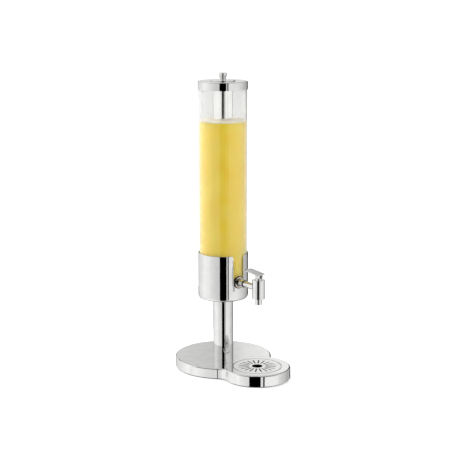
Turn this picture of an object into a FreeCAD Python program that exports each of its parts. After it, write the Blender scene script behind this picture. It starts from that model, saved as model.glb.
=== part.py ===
"""Drinks tower with a tap: a polished base with a drip tray, a column, a holder cup and a clear container.

One STEP file is written for each separate piece. Lengths are millimetres and +Z is up. The origin is the point
where the column's axis meets the standing surface, and the tap points to the front, towards -Y.
"""

import FreeCAD, Part

import math
import os

from FreeCAD import Rotation, Vector

# Clearances
FIT_GAP = 0.1
LOOSE_GAP = 0.3
TRAY_GAP = 0.5
STEM_RUNNING_GAP = 0.08
PIN_RUNNING_GAP = 0.05

# Edge rounds that several turned pieces share
SOFT_EDGE_ROUND = 1.0
TURNED_EDGE_ROUND = 0.8
FINE_EDGE_ROUND = 0.4

# Base shell, drawn and polished steel
BASE_RADIUS = 122.5
BASE_TOP = 28.0
BASE_EDGE_ROUND = 3.4
BASE_RIM_LIFT = 3.0
BASE_WALL = 1.5
TRAY_LOBE_RADIUS = 82.5
TRAY_LOBE_RAISE = 2.0
TRAY_SETBACK = 4.0
NECK_BLEND_RADIUS = 27.0

# Drip tray opening, pan and grid
GRID_RADIUS = 60.0
GRID_THICKNESS = 1.8
GRID_EDGE_ROUND = 0.6
GRID_FINGER_HOLE_RADIUS = 13.0
GRID_SLOT_COUNT = 20
GRID_SLOT_WIDTH = 3.2
GRID_SLOT_INNER_RADIUS = 21.0
GRID_SLOT_OUTER_RADIUS = 47.5
GROOVE_WIDTH = 1.2
TRAY_LEDGE_WIDTH = 6.0
PAN_FLANGE_THICKNESS = 1.2
PAN_WALL = 1.0
PAN_DEPTH = 16.0
PAN_CORNER_ROUND = 4.0

# Ballast, bottom plate and pad
BALLAST_THICKNESS = 12.0
BALLAST_MARGIN = 6.0
BALLAST_TRAY_MARGIN = 3.0
BOSS_RADIUS = 7.0
BOSS_CIRCLE_RADIUS = 85.0
BOSS_COUNT = 4
BOTTOM_PLATE_THICKNESS = 2.0
PAD_THICKNESS = 3.5
PAD_INSET = 5.0
SCREW_RADIUS = 2.5
SCREW_HEAD_RADIUS = 4.3
SCREW_LENGTH = 10.0
SCREW_HOLE_SPARE = 1.0

# Column and its tie rod
COLUMN_RADIUS = 25.5
COLUMN_WALL = 1.5
COLUMN_LENGTH = 153.0
COLUMN_FOOT_HEIGHT = 10.0
COLUMN_HEAD_HEIGHT = 22.0
ROD_RADIUS = 5.0
ROD_HOLE_GAP = 0.5
ROD_NUT_ACROSS_FLATS = 17.0
ROD_NUT_HEIGHT = 5.0
ROD_END_BELOW_NUT = 0.5
WASHER_RADIUS = 14.0
WASHER_THICKNESS = 2.0
ROD_ENGAGEMENT = 11.0

# Holder cup
CUP_RADIUS = 63.25
CUP_WALL = 1.5
CUP_HEIGHT = 118.0
CUP_BOTTOM_ROUND = 8.0
CUP_RIM_ROUND = 0.6
CUP_SLOT_WIDTH = 32.0
CUP_SLOT_CORNER_ROUND = 6.0
CUP_WASHER_THICKNESS = 1.5
CUP_SCREW_HEAD_RADIUS = 9.0
CUP_SCREW_HEAD_HEIGHT = 3.5
CUP_SCREW_SOCKET_ACROSS_FLATS = 6.0
CUP_SCREW_SOCKET_DEPTH = 2.2
CUP_SCREW_LENGTH = 10.5
SEAT_PAD_THICKNESS = 7.0
SEAT_PAD_RADIUS = 54.0
SEAT_PAD_BORE = 18.0

# Clear container
CONTAINER_RADIUS = 60.0
CONTAINER_WALL = 3.0
CONTAINER_FLOOR = 4.0
CONTAINER_LENGTH = 537.5
CONTAINER_BOTTOM_ROUND = 6.0
CONTAINER_RIM_ROUND = 0.8

# Tap shank and its fixing through the container wall
TAP_HEIGHT_ABOVE_CUP_BOTTOM = 50.0
SHANK_RADIUS = 9.0
SHANK_BORE_RADIUS = 4.5
SHANK_COLLAR_RADIUS = 15.5
SHANK_COLLAR_THICKNESS = 3.0
SHANK_TAIL = 2.0
OUTER_GASKET_THICKNESS = 2.5
OUTER_GASKET_RADIUS = 15.2
INNER_GASKET_RADIUS = 14.0
INNER_GASKET_THICKNESS = 3.0
LOCK_NUT_ACROSS_FLATS = 27.0
LOCK_NUT_HEIGHT = 6.0
SHANK_FRONT = 84.0
JOINT_RING_WIDTH = 4.0
JOINT_RING_RADIUS = 9.3
SPIGOT_RADIUS = 6.5
SPIGOT_LENGTH = 14.0

# Tap body, bonnet and nozzle
TAP_REACH = 140.0
STUB_RADIUS = 8.0
TAP_BODY_RADIUS = 16.0
TAP_BODY_ABOVE_AXIS = 21.5
TAP_BODY_BELOW_AXIS = 26.5
CHAMBER_RADIUS = 11.0
SEAT_THICKNESS = 2.5
SEAT_BORE_RADIUS = 5.0
NOZZLE_RADIUS = 8.8
NOZZLE_LENGTH = 15.0
NOZZLE_BORE_RADIUS = 6.5
NOZZLE_THREAD_RADIUS = 7.6
NOZZLE_THREAD_LENGTH = 4.0
NOZZLE_EDGE_ROUND = 0.6
BONNET_PLUG_LENGTH = 8.0
BONNET_COLLAR_RADIUS = 8.0
BONNET_COLLAR_HEIGHT = 3.5
STEM_SEAL_RADIUS = 5.2
STEM_SEAL_HEIGHT = 1.9

# Valve, spring and lever
VALVE_LIFT = 3.0
LEVER_ANGLE_DEG = 35.0
VALVE_SEAL_RADIUS = 8.0
VALVE_SEAL_THICKNESS = 3.0
VALVE_DISC_THICKNESS = 2.0
STEM_RADIUS = 3.0
SPRING_RADIUS = 6.3
SPRING_WIRE_RADIUS = 0.6
SPRING_TURNS = 6
CAM_RADIUS = 5.7
CAM_REAR = 5.0
CAM_STEPS = 4
LEVER_PIN_RADIUS = 1.5
LEVER_HUB_WIDTH = 13.0
LEVER_HUB_REAR = 8.5
LEVER_PLATE_WIDTH = 26.0
LEVER_PLATE_THICKNESS = 2.0
LEVER_PLATE_ABOVE_PIN = 4.0
LEVER_PLATE_FRONT = 10.0
LEVER_PLATE_REAR = 44.0
LEVER_PLATE_CORNER_ROUND = 4.0
LEVER_PLATE_REAR_ROUND = 7.0
LEVER_PLATE_TILT_DEG = 5.0

# Lid, ice tube, cap and knob
LID_RADIUS = 61.75
LID_WALL = 1.2
LID_SKIRT = 20.0
LID_EDGE_ROUND = 2.0
LID_GASKET_THICKNESS = 1.8
LID_GASKET_WIDTH = 3.5
ICE_TUBE_RADIUS = 24.0
ICE_TUBE_WALL = 1.0
ICE_TUBE_LENGTH = 405.0
ICE_TUBE_END_ROUND = 6.0
ICE_TUBE_FLANGE_RADIUS = 28.0
ICE_TUBE_FLANGE_THICKNESS = 1.0
ICE_TUBE_HOLE_GAP = 0.5
CAP_RADIUS = 31.0
CAP_WALL = 1.2
CAP_EDGE_ROUND = 1.0
CAP_SPIGOT_RADIUS = 19.5
CAP_SPIGOT_WALL = 1.0
CAP_SPIGOT_DEPTH = 8.0
CAP_SPIGOT_LIP = 1.0
CAP_SEAL_HEIGHT = 4.0
KNOB_HEIGHT = 17.8
KNOB_FOOT_RADIUS = 7.35
KNOB_FOOT_HEIGHT = 1.2
KNOB_NECK_RADIUS = 6.6
KNOB_FLARE_HEIGHT = 11.5
KNOB_TOP_RADIUS = 9.8
KNOB_SHOULDER_ROUND = 3.0
KNOB_SCREW_RADIUS = 2.0
KNOB_SCREW_HEAD_RADIUS = 3.8
KNOB_SCREW_HEAD_HEIGHT = 2.4
KNOB_SCREW_DEPTH = 9.0

# Heights that follow from the stack
TRAY_TOP = BASE_TOP + TRAY_LOBE_RAISE
SHELL_UNDERSIDE = BASE_TOP - BASE_WALL
GRID_BOTTOM = TRAY_TOP - GRID_THICKNESS
LEDGE_TOP = GRID_BOTTOM - PAN_FLANGE_THICKNESS
LEDGE_BOTTOM = LEDGE_TOP - BASE_WALL
PAN_BOTTOM = LEDGE_TOP - PAN_DEPTH
BALLAST_BOTTOM = SHELL_UNDERSIDE - BALLAST_THICKNESS
PLATE_TOP = PAD_THICKNESS + BOTTOM_PLATE_THICKNESS
CUP_BOTTOM = BASE_TOP + COLUMN_LENGTH
CUP_FLOOR = CUP_BOTTOM + CUP_WALL
CUP_TOP = CUP_BOTTOM + CUP_HEIGHT
CONTAINER_BOTTOM = CUP_FLOOR + SEAT_PAD_THICKNESS
CONTAINER_TOP = CONTAINER_BOTTOM + CONTAINER_LENGTH
LID_TOP = CONTAINER_TOP + LID_GASKET_THICKNESS + LID_WALL
FLANGE_TOP = LID_TOP + ICE_TUBE_FLANGE_THICKNESS
CAP_TOP = FLANGE_TOP + CAP_WALL
KNOB_TOP = CAP_TOP + KNOB_HEIGHT
TAP_AXIS = CUP_BOTTOM + TAP_HEIGHT_ABOVE_CUP_BOTTOM

# Radii and places that follow from a neighbour
TRAY_Y = TRAY_SETBACK - TAP_REACH
OPENING_RADIUS = GRID_RADIUS + GROOVE_WIDTH
LEDGE_BORE = OPENING_RADIUS - TRAY_LEDGE_WIDTH
PAN_RADIUS = LEDGE_BORE - TRAY_GAP
ROD_HOLE_RADIUS = ROD_RADIUS + ROD_HOLE_GAP
CONTAINER_BORE = CONTAINER_RADIUS - CONTAINER_WALL
COLLAR_BACK = CONTAINER_RADIUS + OUTER_GASKET_THICKNESS
COLLAR_FRONT = COLLAR_BACK + SHANK_COLLAR_THICKNESS
LOCK_NUT_FRONT = CONTAINER_BORE - INNER_GASKET_THICKNESS
SHANK_END = LOCK_NUT_FRONT - LOCK_NUT_HEIGHT - SHANK_TAIL
STUB_END = SHANK_FRONT + JOINT_RING_WIDTH
TAP_BODY_TOP = TAP_AXIS + TAP_BODY_ABOVE_AXIS
TAP_BODY_BOTTOM = TAP_AXIS - TAP_BODY_BELOW_AXIS
SEAT_BOTTOM = TAP_BODY_BOTTOM + NOZZLE_THREAD_LENGTH
SEAT_TOP = SEAT_BOTTOM + SEAT_THICKNESS
VALVE_DISC_BOTTOM = SEAT_TOP + VALVE_SEAL_THICKNESS
VALVE_DISC_TOP = VALVE_DISC_BOTTOM + VALVE_DISC_THICKNESS
BONNET_BOTTOM = TAP_BODY_TOP - BONNET_PLUG_LENGTH
BONNET_TOP = TAP_BODY_TOP + BONNET_COLLAR_HEIGHT
PIN_HEIGHT = BONNET_TOP + LOOSE_GAP + CAM_RADIUS
CAP_SEAL_RADIUS = ICE_TUBE_RADIUS - ICE_TUBE_WALL - LOOSE_GAP


def unit(vector):
    """A copy of the vector with length one."""
    return Vector(vector).normalize()


def rounded_edges(corners):
    """Edges of a closed outline in the XZ plane from (x, z, round radius) corners."""
    points = [Vector(x, 0, z) for x, z, _ in corners]
    count = len(points)
    stretches = []
    for index, (_, _, radius) in enumerate(corners):
        corner = points[index]
        to_last = unit(points[index - 1] - corner)
        to_next = unit(points[(index + 1) % count] - corner)
        if radius <= 0:
            stretches.append((corner, None, corner))
            continue
        half = to_last.getAngle(to_next) / 2
        setback = radius / math.tan(half)
        bisector = unit(to_last + to_next)
        middle = corner + bisector * (radius / math.sin(half) - radius)
        stretches.append((corner + to_last * setback, middle, corner + to_next * setback))
    edges = []
    for index, (start, middle, end) in enumerate(stretches):
        if middle is not None:
            edges.append(Part.Arc(start, middle, end).toShape())
        following = stretches[(index + 1) % count][0]
        if end.distanceToPoint(following) > 1e-6:
            edges.append(Part.makeLine(end, following))
    return edges


def face_of(corners):
    """A flat face in the XZ plane inside the rounded outline."""
    return Part.Face(Part.Wire(rounded_edges(corners)))


def turned(corners):
    """A solid turned about the Z axis from (radius, height, round radius) corners."""
    return face_of(corners).revolve(Vector(0, 0, 0), Vector(0, 0, 1), 360)


def disc(radius, low, high):
    """A round bar about the Z axis between two heights."""
    return Part.makeCylinder(radius, high - low, Vector(0, 0, low))


def ring(outer, inner, low, high):
    """A flat ring about the Z axis between two heights."""
    return disc(outer, low, high).cut(disc(inner, low - 1, high + 1))


def hexagon(across_flats, low, high):
    """A hexagonal bar about the Z axis between two heights."""
    corner = across_flats / math.sqrt(3)
    angles = [math.radians(60 * step) for step in range(7)]
    points = [Vector(corner * math.cos(a), corner * math.sin(a), low) for a in angles]
    return Part.Face(Part.makePolygon(points)).extrude(Vector(0, 0, high - low))


def chamfered_nut(across_flats, bore, low, high):
    """A hexagonal nut whose corners are turned off at both ends."""
    corner = across_flats / math.sqrt(3)
    flat = across_flats / 2
    fall = (corner - flat) * math.tan(math.radians(30))
    profile = [(bore, low, 0), (flat, low, 0), (corner, low + fall, 0)]
    profile += [(corner, high - fall, 0), (flat, high, 0), (bore, high, 0)]
    return hexagon(across_flats, low, high).common(turned(profile))


def at(shape, x=0.0, y=0.0, z=0.0):
    """The shape moved by the given distances."""
    return shape.translated(Vector(x, y, z))


def along_tap(shape):
    """The shape turned so that its +Z points to the front, set at the height of the tap's axis."""
    moved = shape.copy()
    moved.rotate(Vector(0, 0, 0), Vector(1, 0, 0), 90)
    return at(moved, z=TAP_AXIS)


def at_tap(shape):
    """The shape moved to the upright axis of the tap body."""
    return at(shape, y=-TAP_REACH)


def base_outline(inset):
    """The base's outline, two round lobes with a concave blend on each side, set in by a distance."""
    large = BASE_RADIUS - inset
    small = TRAY_LOBE_RADIUS - inset
    blend = NECK_BLEND_RADIUS + inset
    reach = -TRAY_Y
    to_large = large + blend
    to_small = small + blend
    down = (to_large ** 2 - to_small ** 2 + reach ** 2) / (2 * reach)
    side = math.sqrt(to_large ** 2 - down ** 2)
    tray = Vector(0, TRAY_Y, 0)
    edges = []
    ends = []
    for sign in (1, -1):
        centre = Vector(sign * side, -down, 0)
        on_large = centre * (large / to_large)
        on_small = tray + (centre - tray) * (small / to_small)
        middle = centre + unit(unit(on_large - centre) + unit(on_small - centre)) * blend
        edges.append(Part.Arc(on_large, middle, on_small).toShape())
        ends.append((on_large, on_small))
    edges.append(Part.Arc(ends[0][0], Vector(0, large, 0), ends[1][0]).toShape())
    edges.append(Part.Arc(ends[0][1], tray + Vector(0, -small, 0), ends[1][1]).toShape())
    return Part.Wire(Part.__sortEdges__(edges))


def outline_slab(inset, low, high):
    """A slab of the base's outline between two heights."""
    return at(Part.Face(base_outline(inset)).extrude(Vector(0, 0, high - low)), z=low)


def base_form(inset, bottom):
    """The base's outer form, or the hollow inside it: a rounded slab and the raised round tray lobe."""
    top = BASE_TOP - inset
    round_radius = BASE_EDGE_ROUND - inset
    slab = outline_slab(inset, bottom, top)
    rim = [edge for edge in slab.Edges if edge.BoundBox.ZMin > top - 0.01]
    slab = slab.makeFillet(round_radius, rim)
    radius = TRAY_LOBE_RADIUS - inset
    raised = TRAY_TOP - inset
    lobe = turned([(0, bottom, 0), (radius, bottom, 0), (radius, raised, round_radius), (0, raised, 0)])
    return slab.fuse(at(lobe, y=TRAY_Y)).removeSplitter()


def base_shell():
    """The drawn steel shell with the stepped round opening that the drip tray hangs in."""
    shell = base_form(0, BASE_RIM_LIFT).cut(base_form(BASE_WALL, BASE_RIM_LIFT - 1))
    seat_radius = OPENING_RADIUS + BASE_WALL
    seat = ring(seat_radius, LEDGE_BORE, LEDGE_BOTTOM, TRAY_TOP - BASE_WALL / 2)
    shell = shell.fuse(at(seat, y=TRAY_Y))
    shell = shell.cut(at(disc(OPENING_RADIUS, LEDGE_TOP, TRAY_TOP + 1), y=TRAY_Y))
    shell = shell.cut(at(disc(LEDGE_BORE, LEDGE_BOTTOM - 1, TRAY_TOP), y=TRAY_Y))
    return shell.cut(disc(ROD_HOLE_RADIUS, 0, BASE_TOP + 1)).removeSplitter()


def drip_tray():
    """The round pan that catches drips, hung by its flange on the ledge."""
    outer = PAN_RADIUS
    inner = outer - PAN_WALL
    top = GRID_BOTTOM
    floor = PAN_BOTTOM + PAN_WALL
    inner_round = PAN_CORNER_ROUND - PAN_WALL
    profile = [(0, PAN_BOTTOM, 0), (outer, PAN_BOTTOM, PAN_CORNER_ROUND), (outer, LEDGE_TOP, 0)]
    profile += [(GRID_RADIUS, LEDGE_TOP, 0), (GRID_RADIUS, top, 0), (inner, top, 0)]
    profile += [(inner, floor, inner_round), (0, floor, 0)]
    return at(turned(profile), y=TRAY_Y)


def grid_slot():
    """One round-ended radial slot along +X."""
    radius = GRID_SLOT_WIDTH / 2
    inner = GRID_SLOT_INNER_RADIUS + radius
    outer = GRID_SLOT_OUTER_RADIUS - radius
    low = GRID_BOTTOM - 1
    height = GRID_THICKNESS + 2
    corners = [
        Vector(inner, -radius, low),
        Vector(outer, -radius, low),
        Vector(outer, radius, low),
        Vector(inner, radius, low),
    ]
    edges = [
        Part.makeLine(corners[0], corners[1]),
        Part.Arc(corners[1], Vector(outer + radius, 0, low), corners[2]).toShape(),
        Part.makeLine(corners[2], corners[3]),
        Part.Arc(corners[3], Vector(inner - radius, 0, low), corners[0]).toShape(),
    ]
    return Part.Face(Part.Wire(edges)).extrude(Vector(0, 0, height))


def drip_grid():
    """The flat grid with a ring of radial slots and a round finger hole."""
    inner = GRID_FINGER_HOLE_RADIUS
    profile = [(inner, GRID_BOTTOM, 0), (GRID_RADIUS, GRID_BOTTOM, 0)]
    profile += [(GRID_RADIUS, TRAY_TOP, GRID_EDGE_ROUND), (inner, TRAY_TOP, GRID_EDGE_ROUND)]
    grid = turned(profile)
    pitch = 360 / GRID_SLOT_COUNT
    slots = []
    for index in range(GRID_SLOT_COUNT):
        slot = grid_slot()
        slot.rotate(Vector(0, 0, 0), Vector(0, 0, 1), pitch * (index + 0.5))
        slots.append(slot)
    return at(grid.cut(Part.makeCompound(slots)), y=TRAY_Y)


def around_bosses(shape):
    """Copies of the shape on the circle of ballast bosses."""
    copies = []
    for index in range(BOSS_COUNT):
        copy = at(shape, x=BOSS_CIRCLE_RADIUS)
        copy.rotate(Vector(0, 0, 0), Vector(0, 0, 1), 360 / BOSS_COUNT * (index + 0.5))
        copies.append(copy)
    return copies


def ballast_plate():
    """The cast weight under the shell's top, with bosses that carry the bottom plate."""
    plate = disc(BASE_RADIUS - BASE_WALL - BALLAST_MARGIN, BALLAST_BOTTOM, SHELL_UNDERSIDE)
    clearance = OPENING_RADIUS + BASE_WALL + BALLAST_TRAY_MARGIN
    plate = plate.cut(at(disc(clearance, BALLAST_BOTTOM - 1, BASE_TOP), y=TRAY_Y))
    plate = plate.fuse(around_bosses(disc(BOSS_RADIUS, PLATE_TOP, BALLAST_BOTTOM + 1)))
    plate = plate.cut(disc(ROD_HOLE_RADIUS, 0, BASE_TOP))
    screw_end = PAD_THICKNESS + SCREW_LENGTH + SCREW_HOLE_SPARE
    return plate.cut(Part.makeCompound(around_bosses(disc(SCREW_RADIUS, 0, screw_end)))).removeSplitter()


def countersunk_screw():
    """A countersunk screw that points up, its head flush with the bottom plate's underside."""
    low = PAD_THICKNESS
    head = SCREW_HEAD_RADIUS - SCREW_RADIUS
    profile = [(0, low, 0), (SCREW_HEAD_RADIUS, low, 0), (SCREW_RADIUS, low + head, 0)]
    profile += [(SCREW_RADIUS, low + SCREW_LENGTH, FINE_EDGE_ROUND), (0, low + SCREW_LENGTH, 0)]
    return turned(profile)


def bottom_plate():
    """The steel plate that closes the base from below, countersunk for its screws."""
    plate = outline_slab(BASE_WALL + LOOSE_GAP, PAD_THICKNESS, PLATE_TOP)
    head = SCREW_HEAD_RADIUS - SCREW_RADIUS
    low = PAD_THICKNESS
    sink = turned(
        [
            (0, low, 0),
            (SCREW_HEAD_RADIUS, low, 0),
            (SCREW_RADIUS, low + head, 0),
            (SCREW_RADIUS, PLATE_TOP + 1, 0),
            (0, PLATE_TOP + 1, 0),
        ]
    )
    return plate.cut(Part.makeCompound(around_bosses(sink)))


def column_pieces():
    """The column tube, its two end plugs, the tie rod and the rod's nut and washer."""
    bore = COLUMN_RADIUS - COLUMN_WALL
    plug = bore - FIT_GAP
    rod_low = BALLAST_BOTTOM - WASHER_THICKNESS - ROD_NUT_HEIGHT - ROD_END_BELOW_NUT
    head_low = CUP_BOTTOM - COLUMN_HEAD_HEIGHT
    nut_top = BALLAST_BOTTOM - WASHER_THICKNESS
    foot_top = BASE_TOP + COLUMN_FOOT_HEIGHT
    foot = [(ROD_HOLE_RADIUS, BASE_TOP, 0), (plug, BASE_TOP, 0)]
    foot += [(plug, foot_top, SOFT_EDGE_ROUND), (ROD_HOLE_RADIUS, foot_top, 0)]
    head = [(ROD_RADIUS, head_low, 0), (plug, head_low, SOFT_EDGE_ROUND)]
    head += [(plug, CUP_BOTTOM, 0), (ROD_RADIUS, CUP_BOTTOM, 0)]
    return {
        "column_tube": ring(COLUMN_RADIUS, bore, BASE_TOP, CUP_BOTTOM),
        "column_foot_plug": turned(foot),
        "column_head_plug": turned(head),
        "tie_rod": disc(ROD_RADIUS, rod_low, head_low + ROD_ENGAGEMENT),
        "rod_washer": ring(WASHER_RADIUS, ROD_HOLE_RADIUS, nut_top, BALLAST_BOTTOM),
        "rod_nut": chamfered_nut(ROD_NUT_ACROSS_FLATS, ROD_RADIUS, nut_top - ROD_NUT_HEIGHT, nut_top),
    }


def cup_slot():
    """The U-shaped slot that lets the tap pass down into the cup, cut from the front."""
    half = CUP_SLOT_WIDTH / 2
    corner = CUP_SLOT_CORNER_ROUND
    wide = half + corner
    bend = corner * (1 - math.sqrt(0.5))
    low = CUP_TOP - corner
    top = CUP_TOP + corner
    edges = []
    for side in (-1, 1):
        foot = Vector(side * half, 0, TAP_AXIS)
        start = Vector(side * half, 0, low)
        middle = Vector(side * (half + bend), 0, CUP_TOP - bend)
        end = Vector(side * wide, 0, CUP_TOP)
        edges.append(Part.makeLine(foot, start))
        edges.append(Part.Arc(start, middle, end).toShape())
        edges.append(Part.makeLine(end, Vector(side * wide, 0, top)))
    edges.append(Part.makeLine(Vector(-wide, 0, top), Vector(wide, 0, top)))
    bottom = Part.Arc(Vector(half, 0, TAP_AXIS), Vector(0, 0, TAP_AXIS - half), Vector(-half, 0, TAP_AXIS))
    edges.append(bottom.toShape())
    outline = Part.Wire(Part.__sortEdges__(edges))
    return Part.Face(outline).extrude(Vector(0, -CUP_RADIUS - 1, 0))


def holder_cup():
    """The polished cup on the column that the container stands in."""
    inner = CUP_RADIUS - CUP_WALL
    profile = [(ROD_HOLE_RADIUS, CUP_BOTTOM, 0), (CUP_RADIUS, CUP_BOTTOM, CUP_BOTTOM_ROUND)]
    profile += [(CUP_RADIUS, CUP_TOP, CUP_RIM_ROUND), (inner, CUP_TOP, CUP_RIM_ROUND)]
    profile += [(inner, CUP_FLOOR, CUP_BOTTOM_ROUND - CUP_WALL), (ROD_HOLE_RADIUS, CUP_FLOOR, 0)]
    return turned(profile).cut(cup_slot())


def cup_fixing():
    """The washer, the low screw and the soft seat inside the cup."""
    washer_top = CUP_FLOOR + CUP_WASHER_THICKNESS
    head_top = washer_top + CUP_SCREW_HEAD_HEIGHT
    screw_end = washer_top - CUP_SCREW_LENGTH
    profile = [(0, screw_end, 0), (ROD_RADIUS, screw_end, TURNED_EDGE_ROUND), (ROD_RADIUS, washer_top, 0)]
    profile += [(CUP_SCREW_HEAD_RADIUS, washer_top, 0), (CUP_SCREW_HEAD_RADIUS, head_top, SOFT_EDGE_ROUND)]
    profile += [(0, head_top, 0)]
    socket = hexagon(CUP_SCREW_SOCKET_ACROSS_FLATS, head_top - CUP_SCREW_SOCKET_DEPTH, head_top + 1)
    pad = [(SEAT_PAD_BORE, CUP_FLOOR, 0), (SEAT_PAD_RADIUS, CUP_FLOOR, SOFT_EDGE_ROUND)]
    pad += [(SEAT_PAD_RADIUS, CONTAINER_BOTTOM, SOFT_EDGE_ROUND)]
    pad += [(SEAT_PAD_BORE, CONTAINER_BOTTOM, SOFT_EDGE_ROUND)]
    return {
        "cup_washer": ring(WASHER_RADIUS, ROD_HOLE_RADIUS, CUP_FLOOR, washer_top),
        "cup_screw": turned(profile).cut(socket),
        "seat_pad": turned(pad),
    }


def container():
    """The clear container, closed below, with a round hole for the tap."""
    floor = CONTAINER_BOTTOM + CONTAINER_FLOOR
    inner_round = CONTAINER_BOTTOM_ROUND - CONTAINER_WALL
    profile = [(0, CONTAINER_BOTTOM, 0), (CONTAINER_RADIUS, CONTAINER_BOTTOM, CONTAINER_BOTTOM_ROUND)]
    profile += [(CONTAINER_RADIUS, CONTAINER_TOP, CONTAINER_RIM_ROUND)]
    profile += [(CONTAINER_BORE, CONTAINER_TOP, CONTAINER_RIM_ROUND), (CONTAINER_BORE, floor, inner_round)]
    profile += [(0, floor, 0)]
    hole = along_tap(disc(SHANK_RADIUS + LOOSE_GAP, 0, CONTAINER_RADIUS + 1))
    return turned(profile).cut(hole)


def shank_fixing():
    """The threaded shank through the wall with its gaskets, lock nut and joint ring."""
    profile = [(SHANK_BORE_RADIUS, SHANK_END, 0), (SHANK_RADIUS, SHANK_END, TURNED_EDGE_ROUND)]
    profile += [(SHANK_RADIUS, COLLAR_BACK, 0), (SHANK_COLLAR_RADIUS, COLLAR_BACK, 0)]
    profile += [(SHANK_COLLAR_RADIUS, COLLAR_FRONT, SOFT_EDGE_ROUND), (SHANK_RADIUS, COLLAR_FRONT, 0)]
    profile += [(SHANK_RADIUS, SHANK_FRONT, FINE_EDGE_ROUND), (SPIGOT_RADIUS, SHANK_FRONT, 0)]
    profile += [(SPIGOT_RADIUS, SHANK_FRONT + SPIGOT_LENGTH, FINE_EDGE_ROUND)]
    profile += [(SHANK_BORE_RADIUS, SHANK_FRONT + SPIGOT_LENGTH, 0)]
    outer = along_tap(ring(OUTER_GASKET_RADIUS, SHANK_RADIUS, CONTAINER_BORE, COLLAR_BACK))
    inner = along_tap(ring(INNER_GASKET_RADIUS, SHANK_RADIUS, LOCK_NUT_FRONT, CONTAINER_RADIUS))
    wall_outside = disc(CONTAINER_RADIUS, CONTAINER_BOTTOM, CONTAINER_TOP)
    wall_inside = disc(CONTAINER_BORE, CONTAINER_BOTTOM, CONTAINER_TOP)
    joint = [(SPIGOT_RADIUS, SHANK_FRONT, 0), (JOINT_RING_RADIUS, SHANK_FRONT, TURNED_EDGE_ROUND)]
    joint += [(JOINT_RING_RADIUS, STUB_END, TURNED_EDGE_ROUND), (SPIGOT_RADIUS, STUB_END, 0)]
    nut = chamfered_nut(LOCK_NUT_ACROSS_FLATS, SHANK_RADIUS, LOCK_NUT_FRONT - LOCK_NUT_HEIGHT, LOCK_NUT_FRONT)
    return {
        "tap_shank": along_tap(turned(profile)),
        "tap_outer_gasket": outer.cut(wall_outside),
        "tap_inner_gasket": inner.common(wall_inside),
        "tap_lock_nut": along_tap(nut),
        "tap_joint_ring": along_tap(turned(joint)),
    }


def tap_body():
    """The upright tap body with its side stub, valve chamber and seat."""
    barrel = [(0, TAP_BODY_BOTTOM, 0), (TAP_BODY_RADIUS, TAP_BODY_BOTTOM, TURNED_EDGE_ROUND)]
    barrel += [(TAP_BODY_RADIUS, TAP_BODY_TOP, TURNED_EDGE_ROUND), (0, TAP_BODY_TOP, 0)]
    stub = [(0, STUB_END, 0), (STUB_RADIUS, STUB_END, FINE_EDGE_ROUND)]
    stub += [(STUB_RADIUS, TAP_REACH, 0), (0, TAP_REACH, 0)]
    body = at_tap(turned(barrel)).fuse(along_tap(turned(stub)))
    socket_radius = SPIGOT_RADIUS + FIT_GAP
    socket = along_tap(disc(socket_radius, STUB_END - 1, SHANK_FRONT + SPIGOT_LENGTH + FIT_GAP))
    passage = along_tap(disc(SHANK_BORE_RADIUS, STUB_END, TAP_REACH))
    chamber = at_tap(disc(CHAMBER_RADIUS, SEAT_TOP, TAP_BODY_TOP + 1))
    seat = at_tap(disc(SEAT_BORE_RADIUS, SEAT_BOTTOM - 1, SEAT_TOP + 1))
    thread = at_tap(disc(NOZZLE_THREAD_RADIUS, TAP_BODY_BOTTOM - 1, SEAT_BOTTOM))
    for hollow in (socket, passage, chamber, seat, thread):
        body = body.cut(hollow)
    return body


def nozzle():
    """The outlet tube screwed into the tap body from below."""
    bottom = TAP_BODY_BOTTOM - NOZZLE_LENGTH
    profile = [(NOZZLE_BORE_RADIUS, bottom, 0), (NOZZLE_RADIUS, bottom, NOZZLE_EDGE_ROUND)]
    profile += [(NOZZLE_RADIUS, TAP_BODY_BOTTOM, 0), (NOZZLE_THREAD_RADIUS, TAP_BODY_BOTTOM, 0)]
    profile += [(NOZZLE_THREAD_RADIUS, SEAT_BOTTOM, 0), (NOZZLE_BORE_RADIUS, SEAT_BOTTOM, 0)]
    return at_tap(turned(profile))


def bonnet_pieces():
    """The bonnet that guides the valve stem, and the square ring that seals it."""
    bore = STEM_RADIUS + STEM_RUNNING_GAP
    groove_top = BONNET_BOTTOM + STEM_SEAL_HEIGHT
    profile = [(STEM_SEAL_RADIUS, BONNET_BOTTOM, 0), (CHAMBER_RADIUS, BONNET_BOTTOM, 0)]
    profile += [(CHAMBER_RADIUS, TAP_BODY_TOP, 0), (BONNET_COLLAR_RADIUS, TAP_BODY_TOP, 0)]
    profile += [(BONNET_COLLAR_RADIUS, BONNET_TOP, FINE_EDGE_ROUND), (bore, BONNET_TOP, 0)]
    profile += [(bore, groove_top, 0), (STEM_SEAL_RADIUS, groove_top, 0)]
    seal = ring(STEM_SEAL_RADIUS, STEM_RADIUS + LOOSE_GAP, BONNET_BOTTOM, groove_top)
    return {"bonnet": at_tap(turned(profile)), "stem_seal": at_tap(seal)}


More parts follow.
